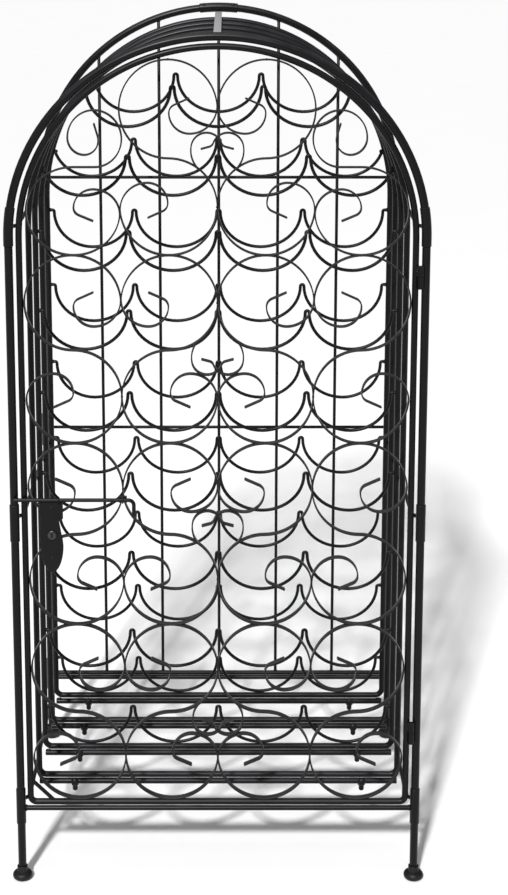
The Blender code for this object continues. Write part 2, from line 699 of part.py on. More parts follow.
def make_scrollwork():
    """S scrolls in four columns and four rows, with pairs of heart curls between them."""
    across, up, bottom = scroll_size()
    half = walk((0.0, 0.0), 0.0, SCROLL_LEGS)
    plain = [(-x, -z) for x, z in reversed(half)] + half[1:]
    spiral = walk((0.0, 0.0), 0.0, SHOULDER_LEGS)
    loop = [(-x, SHOULDER_SQUASH * z) for x, z in reversed(half)]
    narrow = shoulder_width(across, up, bottom)
    shoulder = [(1 - narrow * (1 - x), z) for x, z in loop + spiral[1:]]
    heart = walk((-1 + math.cos(HEART_ANGLE), -1 + math.sin(HEART_ANGLE)), math.radians(130), HEART_LEGS)
    pieces = []
    for row in range(SCROLL_ROWS):
        middle = bottom + (4 * row + 2) * up
        flip = -1 if row % 2 else 1
        for column in range(SCROLL_COLUMNS):
            centre = (2 * column - SCROLL_COLUMNS + 1) * across
            mirror = -1 if column % 2 else 1
            outer_column = column in (0, SCROLL_COLUMNS - 1)
            if row == SCROLL_ROWS - 1 and outer_column:
                drop = 2 * up * (1 - SHOULDER_SQUASH)
                outline = [(centre + mirror * across * x, middle - drop + up * z) for x, z in shoulder]
            else:
                outline = [(centre + mirror * across * x, middle + flip * up * z) for x, z in plain]
            pieces.append(strip("scroll", outline, scroll_black))
        for mirror in (1, -1):
            outline = [(mirror * across * x, middle - flip * up * z) for x, z in heart]
            pieces.append(strip("heart_curl", outline, scroll_black))
    loop = min((bottom + (2 * index + 1) * up for index in range(2 * SCROLL_ROWS)),
               key=lambda height: abs(height - LATCH_Z))
    parting = across * (1 - math.sqrt(1 - min(1.0, abs(loop - LATCH_Z) / up)**2))
    pieces += latch_guide(-2 * across, parting)
    unite("door_scrollwork", pieces, solver="MANIFOLD")


def latch_guide(x, parting):
    """The ring that the bolt slides in, on a tab across the front edges of two scrolls.

    The parting is how far the middle of each strip lies from x at the bolt's height.
    """
    guide_r = LATCH_R + GUIDE_CLEARANCE + GUIDE_WIRE_R
    edge = FRONT_Y - STRIP_DEPTH / 2
    reach = GUIDE_TAB / 2 + parting
    tab = box("tab", (x - reach, edge - GUIDE_TAB_PROUD, LATCH_Z - GUIDE_TAB / 2),
              (x + reach, edge + STRIP_THICKNESS, LATCH_Z + GUIDE_TAB / 2))
    return [tab, ring("guide", (x, LATCH_Y, LATCH_Z), guide_r, GUIDE_WIRE_R)]


# ---------------------------------------------------------------- latch and lock

def make_latch():
    """The sliding bolt, whose right end bends down into a finger grip."""
    bend_r = 0.006
    x = LATCH_BEND_X
    line = [(LATCH_TIP_X, LATCH_Z), (x, LATCH_Z)]
    for step in (1, 2, 3):
        angle = math.pi / 2 - math.pi / 6 * step
        line.append((x + bend_r * math.cos(angle), LATCH_Z - bend_r + bend_r * math.sin(angle)))
    line.append((x + bend_r, LATCH_Z - LATCH_HANDLE_DROP))
    rod("latch_bolt", [(px, LATCH_Y, pz) for px, pz in line], LATCH_R, latch_black, resolution=2)


def make_lock():
    """The shield-shaped lock plate with its latch guide, and the cylinder that turns in it."""
    top = LATCH_Z - LATCH_R - TOUCH
    half = LOCK_WIDTH / 2
    right = LOCK_X + half
    left = LOCK_X - half
    low = top - LOCK_HEIGHT
    belly = top - LOCK_HEIGHT * 0.62
    outline = [(left, top), (left, belly)]
    for step in (1, 2, 3):
        angle = math.pi / 2 * step / 4
        outline.append((LOCK_X - half * math.cos(angle), belly - (belly - low) * math.sin(angle)))
    outline.append((LOCK_X + half * 0.12, low))
    for step in (3, 2, 1):
        angle = math.pi / 2 * step / 4
        outline.append((LOCK_X + half * math.cos(angle), belly - (belly - low) * math.sin(angle)))
    outline += [(right, belly), (right - 0.0012, belly + 0.011), (right - 0.0045, top - 0.0235)]
    outline += [(right, top - 0.0200), (right, top)]
    data = bpy.data.curves.new("lock_plate", "CURVE")
    data.dimensions = "2D"
    data.fill_mode = "BOTH"
    data.extrude = LOCK_THICKNESS / 2
    spline = data.splines.new("POLY")
    spline.points.add(len(outline) - 1)
    for index, (x, z) in enumerate(outline):
        spline.points[index].co = (x, z, 0.0, 1.0)
    spline.use_cyclic_u = True
    plate = add_object("lock_plate", data, latch_black, (0.0, LOCK_FRONT_Y + LOCK_THICKNESS / 2, 0.0))
    plate.rotation_euler = (math.pi / 2, 0.0, 0.0)
    plate = settle(plate)

    guide_r = LATCH_R + GUIDE_CLEARANCE + GUIDE_WIRE_R
    guide = ring("guide", (right - 0.0045, LATCH_Y, LATCH_Z), guide_r, GUIDE_WIRE_R)
    plate = combine(plate, settle(guide), "UNION")

    centre_z = LATCH_Z - LOCK_CYLINDER_DROP
    hole_r = LOCK_CYLINDER_R + FIT
    hole = [(0.0, LOCK_THICKNESS), (hole_r, LOCK_THICKNESS),
            (hole_r, -LOCK_THICKNESS * 2), (0.0, -LOCK_THICKNESS * 2)]
    place = (LOCK_X, LOCK_FRONT_Y, centre_z)
    cutter = turned("hole", hole, None, place, "Y", CYLINDER_SIDES)
    plate = combine(plate, settle(cutter), "DIFFERENCE")
    plate.name = "lock_plate"

    barrel = [(0.0, LOCK_CYLINDER_PROUD), (LOCK_CYLINDER_R, LOCK_CYLINDER_PROUD),
              (LOCK_CYLINDER_R, -LOCK_THICKNESS), (0.0, -LOCK_THICKNESS)]
    cylinder = turned("lock_cylinder", barrel, lock_steel, place, "Y", CYLINDER_SIDES)
    face_y = LOCK_FRONT_Y - LOCK_CYLINDER_PROUD
    keyhole = box("keyhole",
                  (LOCK_X - KEYHOLE_WIDTH / 2, face_y - 0.001, centre_z - KEYHOLE_HEIGHT / 2),
                  (LOCK_X + KEYHOLE_WIDTH / 2, face_y + KEYHOLE_DEPTH, centre_z + KEYHOLE_HEIGHT / 2))
    combine(settle(cylinder), settle(keyhole), "DIFFERENCE").name = "lock_cylinder"


clear_scene()
cabinet = bpy.data.collections.new("wine_cabinet")
bpy.context.scene.collection.children.link(cabinet)

frame_black = make_material("frame powder coat", (0.012, 0.012, 0.013), 0.42, 0.0)
wire_black = make_material("wire powder coat", (0.011, 0.011, 0.012), 0.45, 0.0)
scroll_black = make_material("scroll powder coat", (0.020, 0.020, 0.022), 0.40, 0.0)
foot_black = make_material("foot plastic", (0.010, 0.010, 0.010), 0.55, 0.0)
strap_grey = make_material("strap powder coat", (0.30, 0.30, 0.31), 0.40, 0.0)
latch_black = make_material("latch powder coat", (0.015, 0.015, 0.017), 0.40, 0.0)
lock_steel = make_material("lock steel", (0.35, 0.34, 0.33), 0.35, 1.0)

make_front_frame()
make_back_frame()
for hoop_number in range(1, STATIONS - 1):
    make_hoop(hoop_number)
make_side_rails()
make_top_strap()
make_cradles()
make_door_frame()
make_hinge_pins()
make_scrollwork()
make_latch()
make_lock()
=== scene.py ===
# %% [markdown]
# # An arched wine cabinet in black powder-coated steel
# The real cabinet is bent from round rod and tube. Six arched frames stand one behind the
# other, wavy wires between them cradle 35 bottles, and a door of flat scrolls locks the front.
# The structure is already modelled as plain, faceted solids. This script keeps every size
# and place of those solids and gives each one its fine, smooth shape and its finish.

# %% Load the cabinet
import json
import math
import random

import bmesh
import bpy
from mathutils import Matrix, Vector


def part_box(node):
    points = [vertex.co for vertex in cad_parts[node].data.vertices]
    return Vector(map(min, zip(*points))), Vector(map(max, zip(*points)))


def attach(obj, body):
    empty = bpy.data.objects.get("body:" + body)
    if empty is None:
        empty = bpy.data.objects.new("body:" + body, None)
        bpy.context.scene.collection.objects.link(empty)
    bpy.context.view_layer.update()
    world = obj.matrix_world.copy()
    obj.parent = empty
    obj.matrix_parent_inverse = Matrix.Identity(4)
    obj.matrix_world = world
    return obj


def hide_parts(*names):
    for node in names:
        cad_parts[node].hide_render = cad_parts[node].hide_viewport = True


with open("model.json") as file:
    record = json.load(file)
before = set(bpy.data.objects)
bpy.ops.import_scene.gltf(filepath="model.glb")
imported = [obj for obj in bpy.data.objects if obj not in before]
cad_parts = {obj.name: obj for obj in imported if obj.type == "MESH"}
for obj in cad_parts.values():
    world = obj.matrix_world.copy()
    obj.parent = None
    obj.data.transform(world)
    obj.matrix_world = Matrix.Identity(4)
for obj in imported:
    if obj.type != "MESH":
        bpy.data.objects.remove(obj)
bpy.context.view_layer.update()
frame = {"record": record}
record = frame["record"]
body_of = {node: body for body, nodes in record["behaviour"]["bodies"].items() for node in nodes}
slot_of = {part["node"]: part["material_slot"] for part in record["subparts"]}

# %% [markdown]
# ## Shader sums as Python sums
# A powder coat is never one flat value. Its tiny orange-peel bumps, its cloudy sheen and the
# dust that settles on it are all noise textures with sums done on them. Wrapping a socket
# in a small class lets those sums be written as ordinary Python, and each sum adds its node.


# %% A socket that can be added, taken away and multiplied
class Signal:
    def __init__(self, finish, socket):
        self.finish = finish
        self.socket = socket

    def maths(self, operation, first, second):
        return self.finish.node("Math", {"operation": operation}, {0: first, 1: second})

    def __add__(self, other):
        return self.maths("ADD", self, other)

    def __radd__(self, other):
        return self.maths("ADD", other, self)

    def __sub__(self, other):
        return self.maths("SUBTRACT", self, other)

    def __rsub__(self, other):
        return self.maths("SUBTRACT", other, self)

    def __mul__(self, other):
        return self.maths("MULTIPLY", self, other)

    def __rmul__(self, other):
        return self.maths("MULTIPLY", other, self)

    def clamp(self):
        return self.finish.node("Clamp", {}, {"Value": self})


# %% A material under construction
class Finish:
    """A new material, with one method for any node and one for filling sockets."""

    def __init__(self, name):
        self.material = bpy.data.materials.new(name)
        self.material.use_nodes = True
        self.tree = self.material.node_tree
        self.shader = self.tree.nodes["Principled BSDF"]

    def node(self, kind, settings, inputs, output=0):
        made = self.tree.nodes.new("ShaderNode" + kind)
        for key, value in settings.items():
            setattr(made, key, value)
        self.feed(made, inputs)
        return Signal(self, made.outputs[output])

    def feed(self, node, inputs):
        for key, value in inputs.items():
            if isinstance(value, Signal):
                self.tree.links.new(value.socket, node.inputs[key])
            else:
                node.inputs[key].default_value = value

    def coords(self):
        return self.node("TexCoord", {}, {}, output="Object")

    def noise(self, scale, detail=2.0, roughness=0.5):
        """Soft noise, with the number of its lumps per metre as the scale."""
        values = {"Vector": self.coords(), "Scale": scale, "Detail": detail, "Roughness": roughness}
        return self.node("TexNoise", {}, values)

    def blend(self, share, first, second):
        """From the first colour to the second, by a share from 0 to 1."""
        sockets = {0: share, 6: first, 7: second}     # a Mix node's factor and its two colours
        return self.node("Mix", {"data_type": "RGBA"}, sockets, output=2)


# %% [markdown]
# ## Powder coat
# Powder is sprayed on dry and baked, so it flows into a skin with a fine orange peel, about
# a millimetre from bump to bump, under a finer grain. The sheen is satin and slightly
# cloudy. Faces that look up are painted paler in cloudy patches, a painted top light that
# stands for the light falling on them, and the same mask makes them a little rougher.

# %% Powder coat
PEEL_SCALE = 850.0          # bumps of the orange peel, per metre
GRAIN_SCALE = 4200.0
CLOUD_SCALE = 28.0
PEEL_HEIGHT = 0.00004       # metres
COAT_GLOSS = 0.16           # low, because the coat is a matt resin


def upward(finish):
    """How much a face looks up, from 0 to 1, by the surface's own normal."""
    normal = finish.node("NewGeometry", {}, {}, output="Normal")
    parts = finish.node("SeparateXYZ", {}, {"Vector": normal}, output="Z")
    return parts.clamp()


def powder_coat(name, colour, top_lit_colour, roughness, top_light_share):
    """A black coat, with a paler colour painted on faces that look up as a painted top light."""
    finish = Finish(name)
    peel = finish.noise(PEEL_SCALE, detail=1.0)
    grain = finish.noise(GRAIN_SCALE, detail=2.0, roughness=0.6)
    cloud = finish.noise(CLOUD_SCALE, detail=3.0, roughness=0.55)
    patches = (cloud * 1.4 - 0.3).clamp()
    # Painted top light: the up-facing mask, in cloudy patches and with a random grain speckle, blends the coat
    # to the paler colour and roughens it.
    top_light_and_grain = (upward(finish) * patches * top_light_share + (grain - 0.5) * 0.10).clamp()
    height = peel + grain * 0.3
    bump = finish.node("Bump", {}, {"Strength": 0.5, "Distance": PEEL_HEIGHT, "Height": height})
    finish.feed(finish.shader, {
        "Base Color": finish.blend(top_light_and_grain, (*colour, 1.0), (*top_lit_colour, 1.0)),
        "Roughness": (roughness + (cloud - 0.5) * 0.14 + top_light_and_grain * 0.25).clamp(),
        "Normal": bump,
        "Metallic": 0.0,
        "Specular IOR Level": COAT_GLOSS,
    })
    return finish.material


finishes = {
    "frame_coat": powder_coat("frame powder coat", (0.0026, 0.0026, 0.0031), (0.072, 0.072, 0.084),
                              roughness=0.34, top_light_share=0.48),
    "wire_coat": powder_coat("wire powder coat", (0.0026, 0.0026, 0.0029), (0.050, 0.051, 0.056),
                             roughness=0.38, top_light_share=0.35),
    # The scroll strips take the same black coat painted about three times paler, as painted light for the light
    # that their thin edges catch, with a stronger painted top light.
    "scroll_coat": powder_coat("scroll powder coat", (0.0085, 0.0085, 0.0092), (0.085, 0.085, 0.090),
                               roughness=0.38, top_light_share=0.55),
    "latch_coat": powder_coat("latch powder coat", (0.0034, 0.0034, 0.0040), (0.045, 0.045, 0.050),
                              roughness=0.36, top_light_share=0.25),
}
print("powder coats:", len(finishes))

# %% [markdown]
# ## The other finishes
# The strap over the top is bare galvanised steel: pale grey, with the soft speckle that
# zinc crystals leave. The feet are moulded plastic, matt with a faint grain. The lock's
# cylinder is plated steel that has gone dull, with fine turning marks round its axis.

# %% Galvanised strap, plastic feet and lock cylinder
CRYSTAL_SCALE = 420.0       # zinc crystals, per metre
SPECKLE_SCALE = 1500.0
MOULD_GRAIN_SCALE = 2600.0
RUB_SCALE = 160.0
TURNING_SCALE = 700.0


def galvanised(name):
    finish = Finish(name)
    crystals = finish.node("TexVoronoi", {}, {"Vector": finish.coords(), "Scale": CRYSTAL_SCALE},
                           output="Color")
    patch = finish.node("SeparateColor", {}, {"Color": crystals})
    speckle = finish.noise(SPECKLE_SCALE, detail=3.0, roughness=0.7)
    tone = (patch * 0.45 + speckle * 0.75).clamp()
    finish.feed(finish.shader, {
        "Base Color": finish.blend(tone, (0.15, 0.15, 0.155, 1.0), (0.46, 0.46, 0.47, 1.0)),
        "Roughness": (0.62 - patch * 0.22).clamp(),
        "Normal": finish.node("Bump", {}, {"Strength": 0.35, "Distance": 0.00003, "Height": speckle}),
        "Metallic": 0.35,
    })
    return finish.material


def moulded_plastic(name):
    finish = Finish(name)
    grain = finish.noise(MOULD_GRAIN_SCALE, detail=2.0)
    rub = finish.noise(RUB_SCALE, detail=4.0, roughness=0.65)
    rubbed = (rub * 1.6 - 0.7).clamp()
    finish.feed(finish.shader, {
        "Base Color": finish.blend(rubbed, (0.0035, 0.0035, 0.0038, 1.0), (0.016, 0.016, 0.017, 1.0)),
        "Roughness": (0.40 + rub * 0.22).clamp(),
        "Specular IOR Level": 0.25,
        "Normal": finish.node("Bump", {}, {"Strength": 0.3, "Distance": 0.00005, "Height": grain}),
    })
    return finish.material


def dull_plate(name, centre):
    """Turned steel: rings round an axis that runs along Y through the centre."""
    finish = Finish(name)
    shifted = finish.node("Mapping", {}, {"Vector": finish.coords(), "Location": -centre})
    rings = finish.node("TexWave", {"wave_type": "RINGS", "rings_direction": "Y"}, {
        "Vector": shifted, "Scale": TURNING_SCALE, "Distortion": 1.5, "Detail": 2.0})
    stain = finish.noise(TURNING_SCALE, detail=4.0, roughness=0.6)
    finish.feed(finish.shader, {
        "Base Color": finish.blend(stain, (0.020, 0.020, 0.020, 1.0), (0.11, 0.105, 0.10, 1.0)),
        "Roughness": (0.26 + stain * 0.22).clamp(),
        "Metallic": 1.0,
        "Normal": finish.node("Bump", {}, {"Strength": 0.3, "Distance": 0.00003, "Height": rings}),
    })
    return finish.material


def middle(node):
    """The centre of a solid's box, at rest."""
    low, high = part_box(node)
    return (low + high) / 2


finishes["strap"] = galvanised("galvanised strap")
finishes["foot"] = moulded_plastic("moulded foot")
finishes["lock"] = dull_plate("dull plated steel", middle("lock_cylinder"))
print("finishes:", sorted(finishes))

# %% [markdown]
# ## Bent rod and strip
# Nearly everything here is stock that was bent to shape, so the natural way to model it is
# the way it is made: draw the cross-section once and pull it along the bend. In bmesh
# that is one ring of edges, extruded step by step, with each new ring moved to its place.
# A little chamfer at the ends stands for the cut that the coat has rounded over.

# %% Sections and the sweep
TUBE_SIDES = 24
WIRE_SIDES = 14
END_CHAMFER = 0.0005
END_SIZE = 0.78                      # the section at a cut end, as a share of the full one
ACROSS = Vector((0.0, 1.0, 0.0))     # the plane of an upright frame faces along Y


def round_section(radius, sides=TUBE_SIDES):
    """Draws a round rod's edge into a bmesh."""
    def draw(work):
        bmesh.ops.create_circle(work, cap_ends=False, segments=sides, radius=radius)
    return draw


def strip_section(thickness, depth, edge_radius):
    """Draws a flat strip's edge, with its four corners rounded."""
    def draw(work):
        bmesh.ops.create_grid(work, x_segments=1, y_segments=1, size=0.5)
        bmesh.ops.scale(work, vec=(thickness, depth, 1.0), verts=work.verts)
        bmesh.ops.bevel(work, geom=work.verts[:], offset=edge_radius, offset_type="OFFSET",
                        affect="VERTICES", segments=3, profile=0.5, material=-1)
        bmesh.ops.delete(work, geom=work.faces[:], context="FACES_ONLY")
    return draw


def places_along(points, normal, closed):
    """A matrix for each point: Z runs along the path and Y stays on the bend's own axis."""
    path = [Vector(point) for point in points]
    places = []
    for index, point in enumerate(path):
        after = path[(index + 1) % len(path)] if closed else path[min(index + 1, len(path) - 1)]
        before = path[index - 1] if closed else path[max(index - 1, 0)]
        along = (after - before).normalized()
        sideways = normal.cross(along).normalized()
        turn = Matrix((sideways, along.cross(sideways), along)).transposed()
        places.append(Matrix.Translation(point) @ turn.to_4x4())
    return places


def chamfered(points):
    """The path with a point just inside each end, and the size of the section at each."""
    first, second = Vector(points[0]), Vector(points[1])
    last, previous = Vector(points[-1]), Vector(points[-2])
    start = first + (second - first).normalized() * END_CHAMFER
    end = last + (previous - last).normalized() * END_CHAMFER
    path = [first, start, *points[1:-1], end, last]
    return path, [END_SIZE] + [1.0] * (len(path) - 2) + [END_SIZE]


def verts_in(made):
    """The new points in what an extrude returns."""
    return [item for item in made if isinstance(item, bmesh.types.BMVert)]


def sweep(points, section, normal=ACROSS, closed=False):
    """Pulls the section along the points. The normal is the axis that the path bends about."""
    sizes = [1.0] * len(points)
    if not closed:
        points, sizes = chamfered(points)
    places = [place @ Matrix.Scale(size, 4)
              for place, size in zip(places_along(points, normal, closed), sizes)]
    work = bmesh.new()
    section(work)
    first = work.edges[:]
    bmesh.ops.transform(work, matrix=places[0], verts=work.verts)
    ring = first
    for before, after in zip(places, places[1:]):
        made = bmesh.ops.extrude_edge_only(work, edges=ring)["geom"]
        fresh = verts_in(made)
        edges = [item for item in made if isinstance(item, bmesh.types.BMEdge)]
        ring = [edge for edge in edges if set(fresh).issuperset(edge.verts)]
        bmesh.ops.transform(work, matrix=after @ before.inverted(), verts=fresh)
    if closed:
        bmesh.ops.bridge_loops(work, edges=first + ring)
    else:
        bmesh.ops.edgeloop_fill(work, edges=first)
        bmesh.ops.edgeloop_fill(work, edges=ring)
    bmesh.ops.recalc_face_normals(work, faces=work.faces)
    return work


# %% [markdown]
# ## Turned pieces and weld beads
# Feet, sleeves and barrels are round about one axis, so half an outline is spun. A weld on
# thin rod is a small, lumpy bead. It starts as a ball whose points are nudged at random,
# from a fixed seed, and then smoothed, so no two beads are alike.

# %% Spin and beads
grain = random.Random(35)
TURN_STEPS = 36
FACING_FRONT = math.pi / 2      # leans an upright axis over to point at the front


def turned(profile, centre, lean=0.0, steps=TURN_STEPS):
    """Spins a (radius, height) outline round an axis through the centre."""
    work = bmesh.new()
    verts = [work.verts.new((radius, 0.0, height)) for radius, height in profile]
    edges = [work.edges.new(pair) for pair in zip(verts, verts[1:])]
    bmesh.ops.spin(work, geom=verts + edges, cent=(0, 0, 0), axis=(0, 0, 1), dvec=(0, 0, 0),
                   angle=2 * math.pi, steps=steps, use_merge=True, use_duplicate=False)
    bmesh.ops.remove_doubles(work, verts=work.verts, dist=0.000002)
    bmesh.ops.recalc_face_normals(work, faces=work.faces)
    if lean:
        bmesh.ops.rotate(work, matrix=Matrix.Rotation(lean, 3, "X"), verts=work.verts)
    bmesh.ops.translate(work, vec=centre, verts=work.verts)
    return work


def rounded(radius, low, high, edge):
    """The outline of a round bar from low to high whose two edges are rounded."""
    corner = [math.pi / 2 * step / 4 for step in range(5)]
    top = [(radius - edge + edge * math.sin(a), high - edge + edge * math.cos(a)) for a in corner]
    bottom = [(radius - edge + edge * math.cos(a), low + edge - edge * math.sin(a)) for a in corner]
    return [(0.0, high)] + top + bottom + [(0.0, low)]


def bead(centre, size, stretch=(1.0, 1.0, 1.0)):
    """One weld bead: a lumpy ball, pulled longer or flatter."""
    work = bmesh.new()
    bmesh.ops.create_icosphere(work, subdivisions=2, radius=size)
    for vert in work.verts:
        vert.co *= grain.uniform(0.80, 1.18)
    bmesh.ops.smooth_vert(work, verts=work.verts, factor=0.5,
                          use_axis_x=True, use_axis_y=True, use_axis_z=True)
    bmesh.ops.scale(work, vec=stretch, verts=work.verts)
    bmesh.ops.translate(work, vec=centre, verts=work.verts)
    return work


# %% [markdown]
# ## From shapes to a finished piece
# Every piece stands for one of the plain solids. It rides on the same body, takes the same
# slot, and hides the solid, so a door that swings takes all its details along.

# %% Finish a piece
SHARP = math.radians(42)
made_faces = []


def finish_piece(node, shapes):
    """Joins the shapes into one smooth mesh that stands for the solid."""
    mesh = bpy.data.meshes.new(node + "_steel")
    whole = bmesh.new()
    for shape in shapes:
        shape.to_mesh(mesh)
        shape.free()
        whole.from_mesh(mesh)
    for face in whole.faces:
        face.smooth = True
    whole.to_mesh(mesh)
    whole.free()
    mesh.set_sharp_from_angle(angle=SHARP)
    mesh.materials.clear()
    mesh.materials.append(finishes[slot_of[node]])
    piece = bpy.data.objects.new(node + "_steel", mesh)
    bpy.context.scene.collection.objects.link(piece)
    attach(piece, body_of[node])
    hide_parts(node)
    made_faces.append(len(mesh.polygons))


# %% [markdown]
# ## The sizes that everything shares
# The legs' places are read from the solids. The radii of the stock and the rise of the
# arches are the cabinet's own driving sizes, in metres.

# %% Shared sizes
LEG_R = 0.0047
SLEEVE_HEIGHT = 0.0440
BOTTOM_SLEEVE_Z = 0.0706
FRONT_RISE = 0.2227
BACK_RISE = 0.2311
HOOP_RISE = 0.2226
HOOP_SPRING_DROP = 0.0024
BAR_R = 0.0030
RAIL_R = 0.00225
HOOP_R = 0.0036
TOUCH = 0.0003

leg_x = middle("front_lower_leg_right").x
front_y = middle("front_lower_leg_right").y
back_y = middle("back_lower_leg_right").y
leg_low, leg_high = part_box("front_lower_leg_right")
sleeve_r = (leg_high.x - leg_low.x) / 2
middle_sleeve_z = leg_high.z - SLEEVE_HEIGHT
top_sleeve_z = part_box("front_arch")[0].z
spring_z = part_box("front_arch")[1].z - LEG_R - FRONT_RISE
hoop_spring_z = spring_z - HOOP_SPRING_DROP
sleeve_inner_x = leg_x - sleeve_r - TOUCH
rail_x = sleeve_inner_x - RAIL_R
hoop_x = rail_x - RAIL_R - TOUCH - HOOP_R
print(f"legs at x {leg_x:.4f}, arches spring at z {spring_z:.4f}, hoops at x {hoop_x:.4f}")


def arch(half_width, rise, spring, first=0.0, last=math.pi, steps=72):
    """Points of an arch, from angle first on its right to angle last."""
    angles = [first + (last - first) * step / steps for step in range(steps + 1)]
    return [(half_width * math.cos(a), spring + rise * math.sin(a)) for a in angles]


def at_y(points, y):
    return [(x, y, z) for x, z in points]


# %% [markdown]
# ## Feet and legs
# Each leg is a tube in two lengths. A slightly wider sleeve is pressed on wherever lengths
# meet or a bar is welded on, and its ends are rolled in. A turned plastic foot plugs the
# bottom: a flattened ball on a short neck.

# %% Feet and legs
FOOT_R = 0.0116
FOOT_NECK_R = 0.0062
FOOT_FLAT_R = 0.0070
FOOT_PAD = 0.0092


def foot_outline(height):
    """The foot's neck from its top, then the bulge of the pad down to its flat underside."""
    half = FOOT_PAD / 2
    round_out = FOOT_R - FOOT_FLAT_R
    swing = [math.radians(angle) for angle in range(-60, 81, 10)]
    tall = math.sin(swing[-1])
    bulge = [(FOOT_FLAT_R + round_out * math.cos(a), half + half * math.sin(a) / tall) for a in reversed(swing)]
    outline = [(0.0, height), (FOOT_NECK_R - 0.0004, height), (FOOT_NECK_R, height - 0.0004)]
    outline += [(FOOT_NECK_R, FOOT_PAD + 0.0012), (FOOT_NECK_R + 0.0003, FOOT_PAD + 0.0004)] + bulge
    return outline + [(bulge[-1][0] - 0.0012, 0.0), (0.0, 0.0)]


def leg_tube(x, y, low, high, sleeves):
    """A leg's tube, and the wider sleeves that are pressed on it."""
    shapes = [turned(rounded(LEG_R, low, high, 0.0003), (x, y, 0.0))]
    for start, end in sleeves:
        shapes.append(turned(rounded(sleeve_r, start, end, 0.0007), (x, y, 0.0)))
    return shapes


for side, x in (("left", -leg_x), ("right", leg_x)):
    for end, y in (("front", front_y), ("back", back_y)):
        tube_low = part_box(f"{end}_lower_leg_{side}")[0].z
        finish_piece(f"{end}_foot_{side}", [turned(foot_outline(tube_low - TOUCH), (x, y, 0.0))])
        lower = [(BOTTOM_SLEEVE_Z, BOTTOM_SLEEVE_Z + SLEEVE_HEIGHT), (middle_sleeve_z, leg_high.z)]
        finish_piece(f"{end}_lower_leg_{side}", leg_tube(x, y, tube_low, leg_high.z, lower))
        finish_piece(f"{end}_upper_leg_{side}",
                     leg_tube(x, y, leg_high.z + TOUCH, top_sleeve_z - TOUCH, []))
print("legs and feet:", len(made_faces), "pieces")

# %% [markdown]
# ## The front arch and the back arch
# The tops are one long bend. Their feet are sleeves too, so a wider section is pulled along
# the first few centimetres of the same arch. The back arch comes in two halves that a
# short sleeve joins at the top, held by a screw at each end.

# %% Arches
APEX_SLEEVE_R = 0.0060
APEX_SLEEVE_LENGTH = 0.049
APEX_GAP = 0.0014


def arch_foot(side, y, rise):
    """The sleeve on an arch's foot, straight up to the spring and then along the bend."""
    end_angle = math.asin((top_sleeve_z + SLEEVE_HEIGHT - spring_z) / rise)
    line = [(side * leg_x, top_sleeve_z), (side * leg_x, spring_z - 0.003)]
    line += [(side * px, pz) for px, pz in arch(leg_x, rise, spring_z, 0.0, end_angle, 8)]
    return sweep(at_y(line, y), round_section(sleeve_r))


front_line = [(leg_x, top_sleeve_z)] + arch(leg_x, FRONT_RISE, spring_z) + [(-leg_x, top_sleeve_z)]
finish_piece("front_arch", [
    sweep(at_y(front_line, front_y), round_section(LEG_R)),
    arch_foot(1, front_y, FRONT_RISE), arch_foot(-1, front_y, FRONT_RISE)])

apex = math.pi / 2 - math.asin(APEX_GAP / 2 / leg_x)
for side, sign in (("right", 1), ("left", -1)):
    half = [(leg_x, top_sleeve_z)] + arch(leg_x, BACK_RISE, spring_z, 0.0, apex, 36)
    line = [(sign * px, pz) for px, pz in half]
    finish_piece(f"back_arch_{side}", [
        sweep(at_y(line, back_y), round_section(LEG_R)), arch_foot(sign, back_y, BACK_RISE)])
print("front arch and back arch done")

# %% The sleeve over the joint, and its screws
SCREW_R = 0.0024
SCREW_LEAN = math.radians(42)
SCREW_PLACE = 0.76          # along the sleeve, as a share of half its length
pan_head = [(0.0, 0.0010), (SCREW_R * 0.45, 0.0009), (SCREW_R * 0.85, 0.0005),
            (SCREW_R, 0.0), (SCREW_R, -0.0012), (0.0, -0.0012)]
sleeve_angle = APEX_SLEEVE_LENGTH / 2 / leg_x
apex_line = arch(leg_x, BACK_RISE, spring_z, math.pi / 2 - sleeve_angle, math.pi / 2 + sleeve_angle, 12)
apex_shapes = [sweep(at_y(apex_line, back_y), round_section(APEX_SLEEVE_R))]
for sign in (-1, 1):
    angle = math.pi / 2 + sign * sleeve_angle * SCREW_PLACE
    px, pz = leg_x * math.cos(angle), spring_z + BACK_RISE * math.sin(angle)
    out = APEX_SLEEVE_R + 0.0002
    place = (px, back_y - out * math.sin(SCREW_LEAN), pz + out * math.cos(SCREW_LEAN))
    apex_shapes.append(turned(pan_head, place, lean=SCREW_LEAN, steps=24))
finish_piece("back_apex_sleeve", apex_shapes)
print("apex sleeve and its screws:", len(apex_shapes), "shapes")

# %% [markdown]
# ## Bars, rails, grille and strap
# Straight rods join the legs. Each end is welded, and a bead shows on both sides of it. The
# side rails bow inwards a little, in an easy double bend, so that the hoops can be welded
# to them. The back is closed by five upright wires on two cross wires.

# %% Bottom bars and side rails
RAIL_BUTT = 0.003
RAIL_CRANK = 0.015


def rail_line(sign, height, start):
    """A rail seen from above: straight out of the sleeve, then in to the hoops in a crank."""
    line = [(sign * leg_x, start, height)]
    for step in range(13):
        share = step / 12
        ease = (1 - math.cos(math.pi * share)) / 2
        x = leg_x + (rail_x - leg_x) * ease
        line.append((sign * x, start + RAIL_BUTT + RAIL_CRANK * share, height))
    return line + [(px, -py, pz) for px, py, pz in reversed(line)]


for node, y in (("front_bottom_bar", front_y), ("back_bottom_bar", back_y)):
    z = middle(node).z
    shapes = [sweep([(-sleeve_inner_x, y, z), (sleeve_inner_x, y, z)], round_section(BAR_R))]
    for sign in (-1, 1):
        shapes.append(bead((sign * (sleeve_inner_x - 0.0004), y, z), 0.0041, (0.55, 1.0, 1.0)))
    finish_piece(node, shapes)

